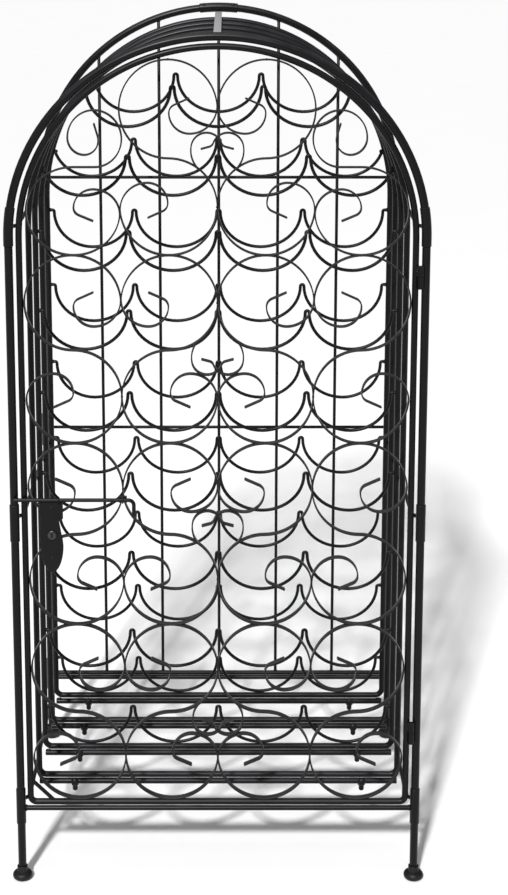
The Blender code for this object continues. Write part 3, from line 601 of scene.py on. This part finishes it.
for level in ("lower", "middle", "upper"):
    for side, sign in (("left", -1), ("right", 1)):
        node = f"side_rail_{level}_{side}"
        height = middle(node).z
        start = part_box(node)[0].y
        line = rail_line(sign, height, start)
        shapes = [sweep(line, round_section(RAIL_R, WIRE_SIDES), normal=Vector((0.0, 0.0, 1.0)))]
        for y in (start, -start):
            shapes.append(bead((sign * leg_x, y, height), 0.0031, (1.0, 0.6, 1.0)))
        finish_piece(node, shapes)
print("bars and rails done")

# %% Back grille
GRILLE_WIRE_R = 0.0020
GRILLE_COLUMNS = 6
grille_shapes = []
bar_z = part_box("back_grille")[0].z + BAR_R
cross_heights = [middle("side_rail_middle_left").z, middle("side_rail_upper_left").z]
cross_ends = [sleeve_inner_x]
upper_lean = 1 - math.sqrt(1 - ((cross_heights[1] - spring_z) / BACK_RISE)**2)
cross_ends.append(sleeve_inner_x - leg_x * upper_lean)
bar_ends = [(-sleeve_inner_x, back_y, bar_z), (sleeve_inner_x, back_y, bar_z)]
grille_shapes.append(sweep(bar_ends, round_section(BAR_R)))
for height, reach in zip(cross_heights, cross_ends):
    ends = [(-reach, back_y, height), (reach, back_y, height)]
    grille_shapes.append(sweep(ends, round_section(GRILLE_WIRE_R, WIRE_SIDES)))
    for sign in (-1, 1):
        grille_shapes.append(bead((sign * reach, back_y, height), 0.0029, (0.7, 1.0, 1.0)))
for column in range(1, GRILLE_COLUMNS):
    x = -leg_x + 2 * leg_x * column / GRILLE_COLUMNS
    top = spring_z + BACK_RISE * math.sqrt(1 - (x / leg_x)**2) - LEG_R * 0.8
    upright = [(x, back_y, bar_z), (x, back_y, top)]
    grille_shapes.append(sweep(upright, round_section(GRILLE_WIRE_R, WIRE_SIDES)))
    grille_shapes.append(bead((x, back_y, top - 0.0004), 0.0030, (1.0, 1.0, 0.6)))
    grille_shapes.append(bead((x, back_y, bar_z + BAR_R), 0.0030, (1.0, 1.0, 0.6)))
    for height in cross_heights:
        grille_shapes.append(bead((x, back_y, height), 0.0026, (1.0, 0.9, 1.0)))
finish_piece("back_grille", grille_shapes)
print("grille wires and welds:", len(grille_shapes))


# %% Top strap
def plate(low, high, edge):
    """A flat bar between two corners, with rounded edges."""
    work = bmesh.new()
    bmesh.ops.create_cube(work, size=1.0)
    bmesh.ops.scale(work, vec=[b - a for a, b in zip(low, high)], verts=work.verts)
    bmesh.ops.bevel(work, geom=work.edges[:], offset=edge, offset_type="OFFSET", affect="EDGES",
                    segments=2, profile=0.5, material=-1)
    bmesh.ops.translate(work, vec=[(a + b) / 2 for a, b in zip(low, high)], verts=work.verts)
    return work


strap_low, strap_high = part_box("top_strap")
finish_piece("top_strap", [plate(strap_low, strap_high, 0.0005)])
print(f"strap {strap_high.y - strap_low.y:.3f} long")

# %% [markdown]
# ## Hoops
# Each hoop is one rod bent all the way round, with tight corners at the bottom and the same
# arch as the frames. A second bar hangs right under it, and two bolts go through that bar.
# Each bolt has a domed head at the front and a capped nut that hangs below.

# %% Hoops and their lower bars
HOOP_BAR_Z = 0.0948
HOOP_CORNER_R = 0.0090
BOLT_INSET = 0.0430
BOLT_HEAD_R = 0.0048
BOLT_NUT_R = 0.0032
LOWER_BAR_DROP = 0.0086


def closed_arch(half_width, low, corner_r, rise, spring):
    """Once round a frame: the right corner, over the arch, and the left corner."""
    line = []
    for side, start in ((1, -math.pi / 2), (-1, math.pi)):
        centre_x = side * (half_width - corner_r)
        turn = [start + math.pi / 2 * step / 8 for step in range(9)]
        line += [(centre_x + corner_r * math.cos(a), low + corner_r + corner_r * math.sin(a))
                 for a in turn]
        if side == 1:
            line += arch(half_width, rise, spring)
    return line


def bolt(x, y, z):
    """A bolt through the lower bar: domed head in front, capped nut and washer below."""
    head = [(0.0, 0.0066), (BOLT_HEAD_R * 0.55, 0.0063), (BOLT_HEAD_R * 0.88, 0.0054),
            (BOLT_HEAD_R, 0.0042), (BOLT_HEAD_R, 0.0014), (0.0, 0.0014)]
    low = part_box("hoop_1_lower_bar")[0].z - z
    nut = [(0.0, 0.0), (BOLT_NUT_R, 0.0), (BOLT_NUT_R, low + 0.0024), (BOLT_NUT_R * 0.92, low + 0.0012),
           (BOLT_NUT_R * 0.62, low + 0.0003), (0.0, low)]
    collar = [(0.0, -0.0030), (BOLT_NUT_R + 0.0012, -0.0032), (BOLT_NUT_R + 0.0014, -0.0040),
              (BOLT_NUT_R + 0.0012, -0.0048), (0.0, -0.0050)]
    return [turned(head, (x, y, z), lean=FACING_FRONT), turned(nut, (x, y, z)), turned(collar, (x, y, z))]


for number in range(1, 5):
    hoop_y = middle(f"hoop_{number}").y
    hoop_line = closed_arch(hoop_x, HOOP_BAR_Z, HOOP_CORNER_R, HOOP_RISE, hoop_spring_z)
    finish_piece(f"hoop_{number}", [sweep(at_y(hoop_line, hoop_y), round_section(HOOP_R), closed=True)])
    lower_z = HOOP_BAR_Z - LOWER_BAR_DROP
    shapes = [sweep([(-hoop_x, hoop_y, lower_z), (hoop_x, hoop_y, lower_z)], round_section(HOOP_R))]
    for sign in (-1, 1):
        shapes += bolt(sign * (hoop_x - BOLT_INSET), hoop_y, lower_z)
        weld = (sign * (hoop_x - 0.004), hoop_y - 0.0022, lower_z + 0.0042)
        shapes.append(bead(weld, 0.0026, (1.6, 0.7, 0.8)))
    finish_piece(f"hoop_{number}_lower_bar", shapes)
print("hoops with their lower bars:", number)

# %% [markdown]
# ## Bottle cradles
# One wire makes a whole row. It drops into a deep round valley for each bottle, turns over
# in a narrow tip between two of them, and at its ends turns out to be welded to the hoop.
# Half an ellipse gives the valley and half a circle gives the tip. In the highest rows the
# arch cuts the outer valleys short, so the angle where the wire meets the hoop is searched.

# %% Cradle wires
CRADLE_WIRE_R = 0.0020
CRADLE_DROP = 0.0476
TIP_R = 0.0023
END_TURN = 0.0030
TOP_ROW = 9
cradle_pitch = (hoop_x - HOOP_R) / 2


def inside_hoop(x, z):
    """Whether a point lies inside the hoop's inner edge."""
    up = max(0.0, z - hoop_spring_z) / (HOOP_RISE - HOOP_R)
    return (x / (hoop_x - HOOP_R))**2 + up**2 < 1.0


def first_angle(point_at):
    """The angle round the outer valley at which the wire meets the hoop."""
    if inside_hoop(*point_at(0.0)):
        return 0.0
    outside, inside = 0.0, math.pi / 2
    for _ in range(30):
        tried = (outside + inside) / 2
        if inside_hoop(*point_at(tried)):
            inside = tried
        else:
            outside = tried
    return inside


def cradle_line(peak, cradles):
    """The wire of one row, from its left end to its right end."""
    rim = peak - TIP_R
    depth = CRADLE_DROP - TIP_R
    half = cradles / 2 * cradle_pitch
    reach = cradle_pitch / 2 - TIP_R

    def valley(centre, angle):
        side = math.cos(angle)
        outer = abs(centre - math.copysign(cradle_pitch / 2, side)) > half - 0.001
        width = reach - END_TURN if outer else reach
        return centre - width * side, rim - depth * math.sin(angle)

    centres = [(index - (cradles - 1) / 2) * cradle_pitch for index in range(cradles)]
    start = first_angle(lambda angle: valley(centres[0], angle))
    line = []
    for centre in centres:
        first = start if centre == centres[0] else 0.0
        last = math.pi - start if centre == centres[-1] else math.pi
        line += [valley(centre, first + (last - first) * step / 26) for step in range(27)]
        if centre != centres[-1]:
            tip_x = centre + cradle_pitch / 2
            turn = [math.pi - math.pi * step / 8 for step in range(1, 8)]
            line += [(tip_x + TIP_R * math.cos(a), rim + TIP_R * math.sin(a)) for a in turn]
    if start == 0.0:
        edge = half - END_TURN - TIP_R
        turn = [math.pi - math.pi / 2 * step / 5 for step in range(1, 6)]
        out = [(edge + TIP_R + TIP_R * math.cos(a), rim + TIP_R * math.sin(a)) for a in turn]
        out.append((half + HOOP_R * 0.4, peak))
        line = [(-px, pz) for px, pz in reversed(out)] + line + out
    return line


cradle_count = 0
for place, number in (("front", 2), ("back", 4)):
    y = middle(f"hoop_{number}").y
    for row in range(1, TOP_ROW + 1):
        node = f"{place}_cradle_row_{row}"
        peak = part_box(node)[1].z - CRADLE_WIRE_R
        line = at_y(cradle_line(peak, 3 if row == TOP_ROW else 4), y)
        shapes = [sweep(line, round_section(CRADLE_WIRE_R, WIRE_SIDES))]
        for end in (line[0], line[-1]):
            shapes.append(bead((end[0] * 0.992, end[1], end[2]), 0.0030, (0.8, 1.0, 0.9)))
        finish_piece(node, shapes)
        cradle_count += 1
print("cradle wires:", cradle_count)

# %% [markdown]
# ## Door frame and hinges
# The door is a rod bent to the cabinet's arch, closed by a straight rod at the bottom. A
# short brace stiffens one lower corner. Two barrels on the right turn on pins that stand
# in barrels welded to the leg.

# %% Door frame
DOOR_R = 0.0037
DOOR_CLEARANCE = 0.0023
DOOR_CORNER_R = 0.0070
DOOR_BOTTOM_GAP = 0.0015
GUSSET_R = 0.0023
GUSSET_LEG = 0.0290
HINGE_R = 0.0035
HINGE_BORE_R = 0.0019
HINGE_PIN_R = 0.0016
HINGE_EDGE = 0.0003
door_x = leg_x - sleeve_r - DOOR_CLEARANCE - DOOR_R
door_rise = FRONT_RISE - LEG_R - DOOR_CLEARANCE - DOOR_R
door_bottom_z = middle("front_bottom_bar").z + BAR_R + DOOR_BOTTOM_GAP + DOOR_R


def barrel(centre, low, high):
    """The hollow barrel on the door, bored for the pin."""
    outline = [(HINGE_BORE_R, high), (HINGE_R - HINGE_EDGE, high), (HINGE_R, high - HINGE_EDGE),
               (HINGE_R, low + HINGE_EDGE), (HINGE_R - HINGE_EDGE, low), (HINGE_BORE_R, low),
               (HINGE_BORE_R, high)]
    return turned(outline, centre)


def weld_run(x, y, z, size):
    """Five beads, one above the other."""
    return [bead((x, y, z + step * 0.0022), size, (0.9, 0.9, 0.8)) for step in (-2, -1, 0, 1, 2)]


pin_low, pin_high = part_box("hinge_pin_lower")
hinge_x, hinge_y = middle("hinge_pin_lower").x, middle("hinge_pin_lower").y
hinge_height = pin_high.z - pin_low.z
hinge_floors = [pin_low.z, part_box("hinge_pin_upper")[0].z]
door_line = closed_arch(door_x, door_bottom_z, DOOR_CORNER_R, door_rise, spring_z)
door_shapes = [sweep(at_y(door_line, front_y), round_section(DOOR_R), closed=True)]
brace = [(-door_x, front_y, door_bottom_z + GUSSET_LEG), (-door_x + GUSSET_LEG, front_y, door_bottom_z)]
door_shapes.append(sweep(brace, round_section(GUSSET_R, WIRE_SIDES)))
for corner in brace:
    door_shapes.append(bead(corner, 0.0040))
for floor in hinge_floors:
    door_shapes.append(barrel((hinge_x, hinge_y, floor), hinge_height / 2 + TOUCH, hinge_height))
    weld_z = floor + hinge_height * 0.75
    weld_x, weld_y = (door_x + hinge_x) / 2, (front_y + hinge_y) / 2
    door_shapes += weld_run(weld_x - 0.0006, weld_y, weld_z, 0.0021)
finish_piece("door_frame", door_shapes)

# %% Hinge pins on the leg
for node, floor in zip(("hinge_pin_lower", "hinge_pin_upper"), hinge_floors):
    half = hinge_height / 2
    outline = [(0.0, hinge_height), (HINGE_PIN_R - 0.0006, hinge_height),
               (HINGE_PIN_R, hinge_height - 0.0006), (HINGE_PIN_R, half)]
    outline += [(HINGE_R - HINGE_EDGE, half), (HINGE_R, half - HINGE_EDGE), (HINGE_R, HINGE_EDGE),
                (HINGE_R - HINGE_EDGE, 0.0), (0.0, 0.0)]
    shapes = [turned(outline, (hinge_x, hinge_y, floor))]
    weld_x, weld_y = (leg_x + hinge_x) / 2, (front_y + hinge_y) / 2
    shapes += weld_run(weld_x, weld_y, floor + half / 2, 0.0019)
    finish_piece(node, shapes)
print("door frame and hinges done")

# %% [markdown]
# ## Scrollwork
# The door is filled with S scrolls of flat strip, standing on edge. Each S is two round
# loops, and past each loop the strip winds inwards through ever smaller bends to a cut end.
# A scroll is walked like a path: go this far round a bend of this radius, then the next.
# Rows flip top to bottom and columns flip left to right, so the loops kiss and are welded.

# %% The walk along a scroll
STRIP_DEPTH = 0.0080
STRIP_THICKNESS = 0.0016
STRIP_EDGE_R = 0.0004
COLUMNS = 4
ROWS = 4
SHOULDER_SQUASH = 0.91
HEART_ANGLE = math.radians(54)
STEP_ANGLE = math.radians(5.5)


# Each bend is a radius, as a share of a loop's, and the degrees that it turns.
SCROLL_BENDS = [(1.0, -90), (1.0, -90), (1.0, -82), (0.56, -98), (0.42, -90), (0.18, -66), (0.34, 0)]
SHOULDER_BENDS = [(0.47, 0), (0.58, 90), (0.58, 90), (0.56, 90), (0.35, 90), (0.30, 107), (0.27, 0)]
HEART_BENDS = [(0.55, -50), (0.32, -150), (0.12, 55), (0.18, 0)]


def walk(position, heading, bends):
    """Points along a run of bends. A bend that turns by nothing is straight."""
    x, z = position
    points = [(x, z)]
    for radius, degrees in bends:
        turn = math.radians(degrees)
        steps = max(1, math.ceil(abs(turn) / STEP_ANGLE)) if turn else 3
        part = turn / steps
        chord = 2 * radius * math.sin(abs(part) / 2) if turn else radius / steps
        for _ in range(steps):
            heading += part / 2
            x += chord * math.cos(heading)
            z += chord * math.sin(heading)
            heading += part / 2
            points.append((x, z))
    return points


# %% Scroll sizes from the door
scroll_low, scroll_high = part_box("door_scrollwork")
loop_bottom = scroll_low.z + STRIP_THICKNESS / 2
loop_up = (scroll_high.z - scroll_low.z - STRIP_THICKNESS) / (4 * ROWS)
loop_across = (door_x - DOOR_R - TOUCH - STRIP_THICKNESS / 2) / COLUMNS


def shoulder_width():
    """How narrow the outer top loops are, so that they stay under the arch."""
    arch_facet = leg_x * (1 - math.cos(math.pi / 40))
    inset = DOOR_R + TOUCH + arch_facet + STRIP_THICKNESS / 2
    height = loop_up * SHOULDER_SQUASH
    centre = loop_bottom + (ROWS - 1) * 4 * loop_up + height
    room = []
    for degrees in range(0, 95, 5):
        angle = math.radians(degrees)
        up = max(0.0, centre + height * math.sin(angle) - spring_z) / (door_rise - inset)
        reach = (door_x - inset) * math.sqrt(1 - up**2)
        room.append((reach - 2 * loop_across) / (1 + math.cos(angle)))
    return min(1.0, min(room) / loop_across)


print(f"loops are {2 * loop_across:.4f} wide and {2 * loop_up:.4f} high")

# %% Outlines of the three strips
half_scroll = walk((0.0, 0.0), 0.0, SCROLL_BENDS)
scroll = [(-x, -z) for x, z in reversed(half_scroll)] + half_scroll[1:]
narrow = shoulder_width()
shoulder_spiral = walk((0.0, 0.0), 0.0, SHOULDER_BENDS)
shoulder_loop = [(-x, SHOULDER_SQUASH * z) for x, z in reversed(half_scroll)]
shoulder = [(1 - narrow * (1 - x), z) for x, z in shoulder_loop + shoulder_spiral[1:]]
heart = walk((-1 + math.cos(HEART_ANGLE), -1 + math.sin(HEART_ANGLE)), math.radians(130), HEART_BENDS)
print("points in a scroll, a shoulder and a heart curl:", len(scroll), len(shoulder), len(heart))

# %% Bend the scrolls
strip = strip_section(STRIP_THICKNESS, STRIP_DEPTH, STRIP_EDGE_R)
scroll_shapes = []


def bend_strip(outline, centre_x, centre_z, wide, high):
    """One strip, scaled to its loops. A negative size flips it."""
    placed = [(centre_x + wide * x, front_y, centre_z + high * z) for x, z in outline]
    scroll_shapes.append(sweep(placed, strip))


def weld_strips(x, z, stretch):
    scroll_shapes.append(bead((x, front_y, z), 0.0016, stretch))


for row in range(ROWS):
    centre_z = loop_bottom + (4 * row + 2) * loop_up
    flip = -1 if row % 2 else 1
    for column in range(COLUMNS):
        centre_x = (2 * column - COLUMNS + 1) * loop_across
        mirror = -1 if column % 2 else 1
        if row == ROWS - 1 and column in (0, COLUMNS - 1):
            drop = 2 * loop_up * (1 - SHOULDER_SQUASH)
            bend_strip(shoulder, centre_x, centre_z - drop, mirror * loop_across, loop_up)
        else:
            bend_strip(scroll, centre_x, centre_z, mirror * loop_across, flip * loop_up)
            weld_strips(centre_x, centre_z + 2 * loop_up, (1.5, 2.0, 1.0))
        weld_strips(centre_x, centre_z - 2 * loop_up, (1.5, 2.0, 1.0))
    for boundary in (-2, 0, 2):
        side = 1 if boundary == 0 else -1
        weld_strips(boundary * loop_across, centre_z + side * flip * loop_up, (1.0, 2.0, 1.5))
    for mirror in (1, -1):
        bend_strip(heart, 0.0, centre_z, mirror * loop_across, -flip * loop_up)

# %% The bolt's guide on the scrollwork
LATCH_R = 0.0022
GUIDE_WIRE_R = 0.0008
latch_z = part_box("latch_bolt")[1].z - LATCH_R
latch_y = middle("latch_bolt").y


def guide_ring(x):
    """A closed wire loop that the bolt slides through."""
    ring_r = LATCH_R + 0.0004 + GUIDE_WIRE_R
    turn = [2 * math.pi * step / 28 for step in range(28)]
    line = [(x, latch_y + ring_r * math.cos(a), latch_z + ring_r * math.sin(a)) for a in turn]
    return sweep(line, round_section(GUIDE_WIRE_R, 10), normal=Vector((1.0, 0.0, 0.0)), closed=True)


guide_x = -2 * loop_across
tab_edge = front_y - STRIP_DEPTH / 2
tab_low = (guide_x - 0.0046, tab_edge - 0.0006, latch_z - 0.0040)
tab_high = (guide_x + 0.0046, tab_edge + STRIP_THICKNESS, latch_z + 0.0040)
scroll_shapes.append(plate(tab_low, tab_high, 0.0004))
scroll_shapes.append(guide_ring(guide_x))
finish_piece("door_scrollwork", scroll_shapes)
print("strips, welds and guide:", len(scroll_shapes))

# %% [markdown]
# ## Bolt and lock
# The bolt is a plain rod that slides through two wire loops. Its right end is bent down for
# a finger, and both ends are rounded. The lock plate is a shield cut from sheet, with a
# turned cylinder let into it.

# %% Bolt
BEND_R = 0.0060
BEND_X = -0.1010
HANDLE_DROP = 0.0190
bolt_line = [(-leg_x, latch_z), (-leg_x + 0.0012, latch_z), (BEND_X, latch_z)]
for step in range(1, 9):
    angle = math.pi / 2 - math.pi / 16 * step
    bolt_line.append((BEND_X + BEND_R * math.cos(angle), latch_z - BEND_R + BEND_R * math.sin(angle)))
bolt_line.append((BEND_X + BEND_R, latch_z - HANDLE_DROP))
finish_piece("latch_bolt", [sweep(at_y(bolt_line, latch_y), round_section(LATCH_R))])
print(f"bolt from x {-leg_x:.4f} to {BEND_X + BEND_R:.4f}")


# %% Lock plate
LOCK_WIDTH = 0.0258
LOCK_HEIGHT = 0.0840
LOCK_X = -0.1886
LOCK_THICKNESS = 0.0025
CYLINDER_R = 0.0050
lock_top = latch_z - LATCH_R - TOUCH
lock_y = front_y - STRIP_DEPTH / 2 - TOUCH - LOCK_THICKNESS
cylinder_centre = middle("lock_cylinder")


def shield_outline():
    """The plate's edge from its top left corner, down round the point and up again."""
    half = LOCK_WIDTH / 2
    low = lock_top - LOCK_HEIGHT
    belly = lock_top - LOCK_HEIGHT * 0.62
    turn = [math.pi / 2 * step / 10 for step in range(11)]
    curve = [(half * math.cos(a), belly - (belly - low) * math.sin(a)) for a in turn[:-1]]
    left = [(LOCK_X - out, z) for out, z in curve]
    right = [(LOCK_X + out, z) for out, z in reversed(curve)]
    outline = [(LOCK_X - half, lock_top)] + left + [(LOCK_X + half * 0.12, low)] + right
    edge = LOCK_X + half
    outline += [(edge - 0.0006, belly + 0.006), (edge - 0.0020, belly + 0.0135)]
    outline += [(edge - 0.0045, lock_top - 0.0235), (edge - 0.0030, lock_top - 0.0212)]
    return outline + [(edge, lock_top - 0.0200), (edge, lock_top)]


def shield():
    """The plate: its outline as one face, pushed back by the thickness, its rims rounded."""
    work = bmesh.new()
    verts = [work.verts.new((x, lock_y, z)) for x, z in shield_outline()]
    face = work.faces.new(verts)
    made = bmesh.ops.extrude_face_region(work, geom=[face])["geom"]
    bmesh.ops.translate(work, vec=(0.0, LOCK_THICKNESS, 0.0), verts=verts_in(made))
    bmesh.ops.recalc_face_normals(work, faces=work.faces)
    rim = [edge for edge in work.edges if abs(edge.verts[0].co.y - edge.verts[1].co.y) < 0.0001]
    bmesh.ops.bevel(work, geom=rim, offset=0.0005, offset_type="OFFSET", affect="EDGES",
                    segments=2, profile=0.5, material=-1)
    return work


def collar():
    """The raised lip round the hole that the cylinder sits in."""
    inner = CYLINDER_R + 0.0002
    outer = CYLINDER_R + 0.0014
    lip = [(inner, 0.0007), (outer - 0.0004, 0.0007), (outer, 0.0002), (outer, -0.0010),
           (inner, -0.0010), (inner, 0.0007)]
    return turned(lip, (LOCK_X, lock_y, cylinder_centre.z), lean=FACING_FRONT)


lock_shapes = [shield(), collar(), guide_ring(LOCK_X + LOCK_WIDTH / 2 - 0.0045)]
for rivet_z in (lock_top - 0.0075, lock_top - LOCK_HEIGHT * 0.80):
    button = [(0.0, 0.0007), (0.0010, 0.0006), (0.0017, 0.0002), (0.0019, -0.0006), (0.0, -0.0006)]
    lock_shapes.append(turned(button, (LOCK_X, lock_y, rivet_z), lean=FACING_FRONT))
finish_piece("lock_plate", lock_shapes)
print("lock plate shapes:", len(lock_shapes))

# %% [markdown]
# The cylinder's keyhole is a real slot. A cut with a Boolean modifier would do, but a disc
# that is inset twice keeps the mesh clean: the innermost face is squeezed to the slot's
# width and height, and pushed in, and the copy that stays over the slot is taken away. The
# disc's rim is then pulled back to make the barrel, and the open back is filled.

# %% Lock cylinder with its keyhole
KEYHOLE_WIDTH = 0.0016
KEYHOLE_HEIGHT = 0.0060
KEYHOLE_DEPTH = 0.0020
LIP = 0.0003


def lock_core():
    """The cylinder, built lying on its back and then turned to face the front."""
    low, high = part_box("lock_cylinder")
    work = bmesh.new()
    bmesh.ops.create_circle(work, cap_ends=True, segments=36, radius=CYLINDER_R)
    face = work.faces[:][0]
    bmesh.ops.inset_individual(work, faces=[face], thickness=0.0004, depth=LIP)
    bmesh.ops.inset_individual(work, faces=[face], thickness=0.0022, depth=0.0)
    for vert in face.verts:
        vert.co.x = max(-KEYHOLE_WIDTH / 2, min(KEYHOLE_WIDTH / 2, vert.co.x))
        vert.co.y *= KEYHOLE_HEIGHT / 2 / (CYLINDER_R - 0.0026)
    made = bmesh.ops.extrude_face_region(work, geom=[face])["geom"]
    bmesh.ops.translate(work, vec=(0.0, 0.0, -KEYHOLE_DEPTH), verts=verts_in(made))
    bmesh.ops.delete(work, geom=[face], context="FACES_ONLY")
    rim = [edge for edge in work.edges if edge.is_boundary]
    made = bmesh.ops.extrude_edge_only(work, edges=rim)["geom"]
    bmesh.ops.translate(work, vec=(0.0, 0.0, LIP - (high.y - low.y)), verts=verts_in(made))
    bmesh.ops.holes_fill(work, edges=work.edges[:], sides=0)
    bmesh.ops.recalc_face_normals(work, faces=work.faces)
    bmesh.ops.rotate(work, matrix=Matrix.Rotation(FACING_FRONT, 3, "X"), verts=work.verts)
    bmesh.ops.translate(work, vec=(LOCK_X, low.y + LIP, cylinder_centre.z), verts=work.verts)
    return work


finish_piece("lock_cylinder", [lock_core()])
print("pieces:", len(made_faces), "faces:", sum(made_faces))

# %% [markdown]
# ## Floor, light and camera
# The cabinet stands in a white studio. The floor is one large pale sheet. A broad sun-like
# key from the front left throws a soft shadow back to the right, the pale room fills it,
# and a softbox overhead draws the thin light lines along the tops of the rods. The room
# lights the scene only faintly, but the camera sees it white, so floor and wall look alike.

# %% Floor
FLOOR_SIZE = 90.0
floor_work = bmesh.new()
bmesh.ops.create_grid(floor_work, x_segments=1, y_segments=1, size=FLOOR_SIZE / 2)
floor_mesh = bpy.data.meshes.new("studio_floor")
floor_work.to_mesh(floor_mesh)
floor_work.free()
floor = bpy.data.objects.new("studio_floor", floor_mesh)
bpy.context.scene.collection.objects.link(floor)
floor_finish = Finish("studio floor paper")
paper = floor_finish.noise(3.0, detail=2.0)
floor_finish.feed(floor_finish.shader, {
    "Base Color": floor_finish.blend(paper, (0.86, 0.86, 0.86, 1.0), (0.88, 0.88, 0.88, 1.0)),
    "Roughness": (0.88 + paper * 0.08).clamp(),
    "Specular IOR Level": 0.0,
})
floor_mesh.materials.append(floor_finish.material)
print("floor", FLOOR_SIZE, "m across")

# %% The room
ROOM_LIGHT = 0.25
world = bpy.data.worlds.new("studio")
bpy.context.scene.world = world
world.use_nodes = True
room = world.node_tree.nodes["Background"]
room.inputs["Color"].default_value = (1.0, 1.0, 1.0, 1.0)
sight = world.node_tree.nodes.new("ShaderNodeLightPath")
seen = world.node_tree.nodes.new("ShaderNodeMapRange")
seen.inputs["To Min"].default_value = ROOM_LIGHT
world.node_tree.links.new(sight.outputs["Is Camera Ray"], seen.inputs["Value"])
world.node_tree.links.new(seen.outputs["Result"], room.inputs["Strength"])
print("room light", ROOM_LIGHT)

# %% Lights
KEY_DIRECTION = Vector((0.30, 1.22, -1.0))
OVERHEAD_DIRECTION = Vector((0.1, 0.1, -1.0))


def add_light(name, kind, energy, location, towards, **settings):
    """A lamp at a place, turned to shine along a direction."""
    data = bpy.data.lights.new(name, kind)
    data.energy = energy
    for key, value in settings.items():
        setattr(data, key, value)
    made = bpy.data.objects.new(name, data)
    made.location = location
    made.rotation_euler = towards.to_track_quat("-Z", "Y").to_euler()
    bpy.context.scene.collection.objects.link(made)
    print(f"{name} light: {energy}")


add_light("key", "SUN", 4.35, (-1.0, -3.0, 3.0), KEY_DIRECTION, angle=math.radians(4.0))
add_light("overhead", "AREA", 18.0, (-0.3, -0.3, 3.0), OVERHEAD_DIRECTION,
          shape="RECTANGLE", size=1.6, size_y=1.2)

# %% Camera
CAMERA_DISTANCE = 1.924       # in front of the front frame
CAMERA_HEIGHT = 1.150
LOOKING_DOWN = 10.62          # degrees
camera_data = bpy.data.cameras.new("camera")
camera_data.sensor_width = 36.0
camera_data.lens = 71.3
camera_data.shift_x = 0.0309
camera_data.shift_y = -0.25
camera = bpy.data.objects.new("camera", camera_data)
camera.location = (0.0099, front_y - CAMERA_DISTANCE, CAMERA_HEIGHT)
camera.rotation_euler = (math.radians(90.0 - LOOKING_DOWN), 0.0, 0.0)
bpy.context.scene.collection.objects.link(camera)
bpy.context.scene.camera = camera
bpy.context.scene.view_settings.view_transform = "Standard"
print("camera at", [round(value, 3) for value in camera.location])
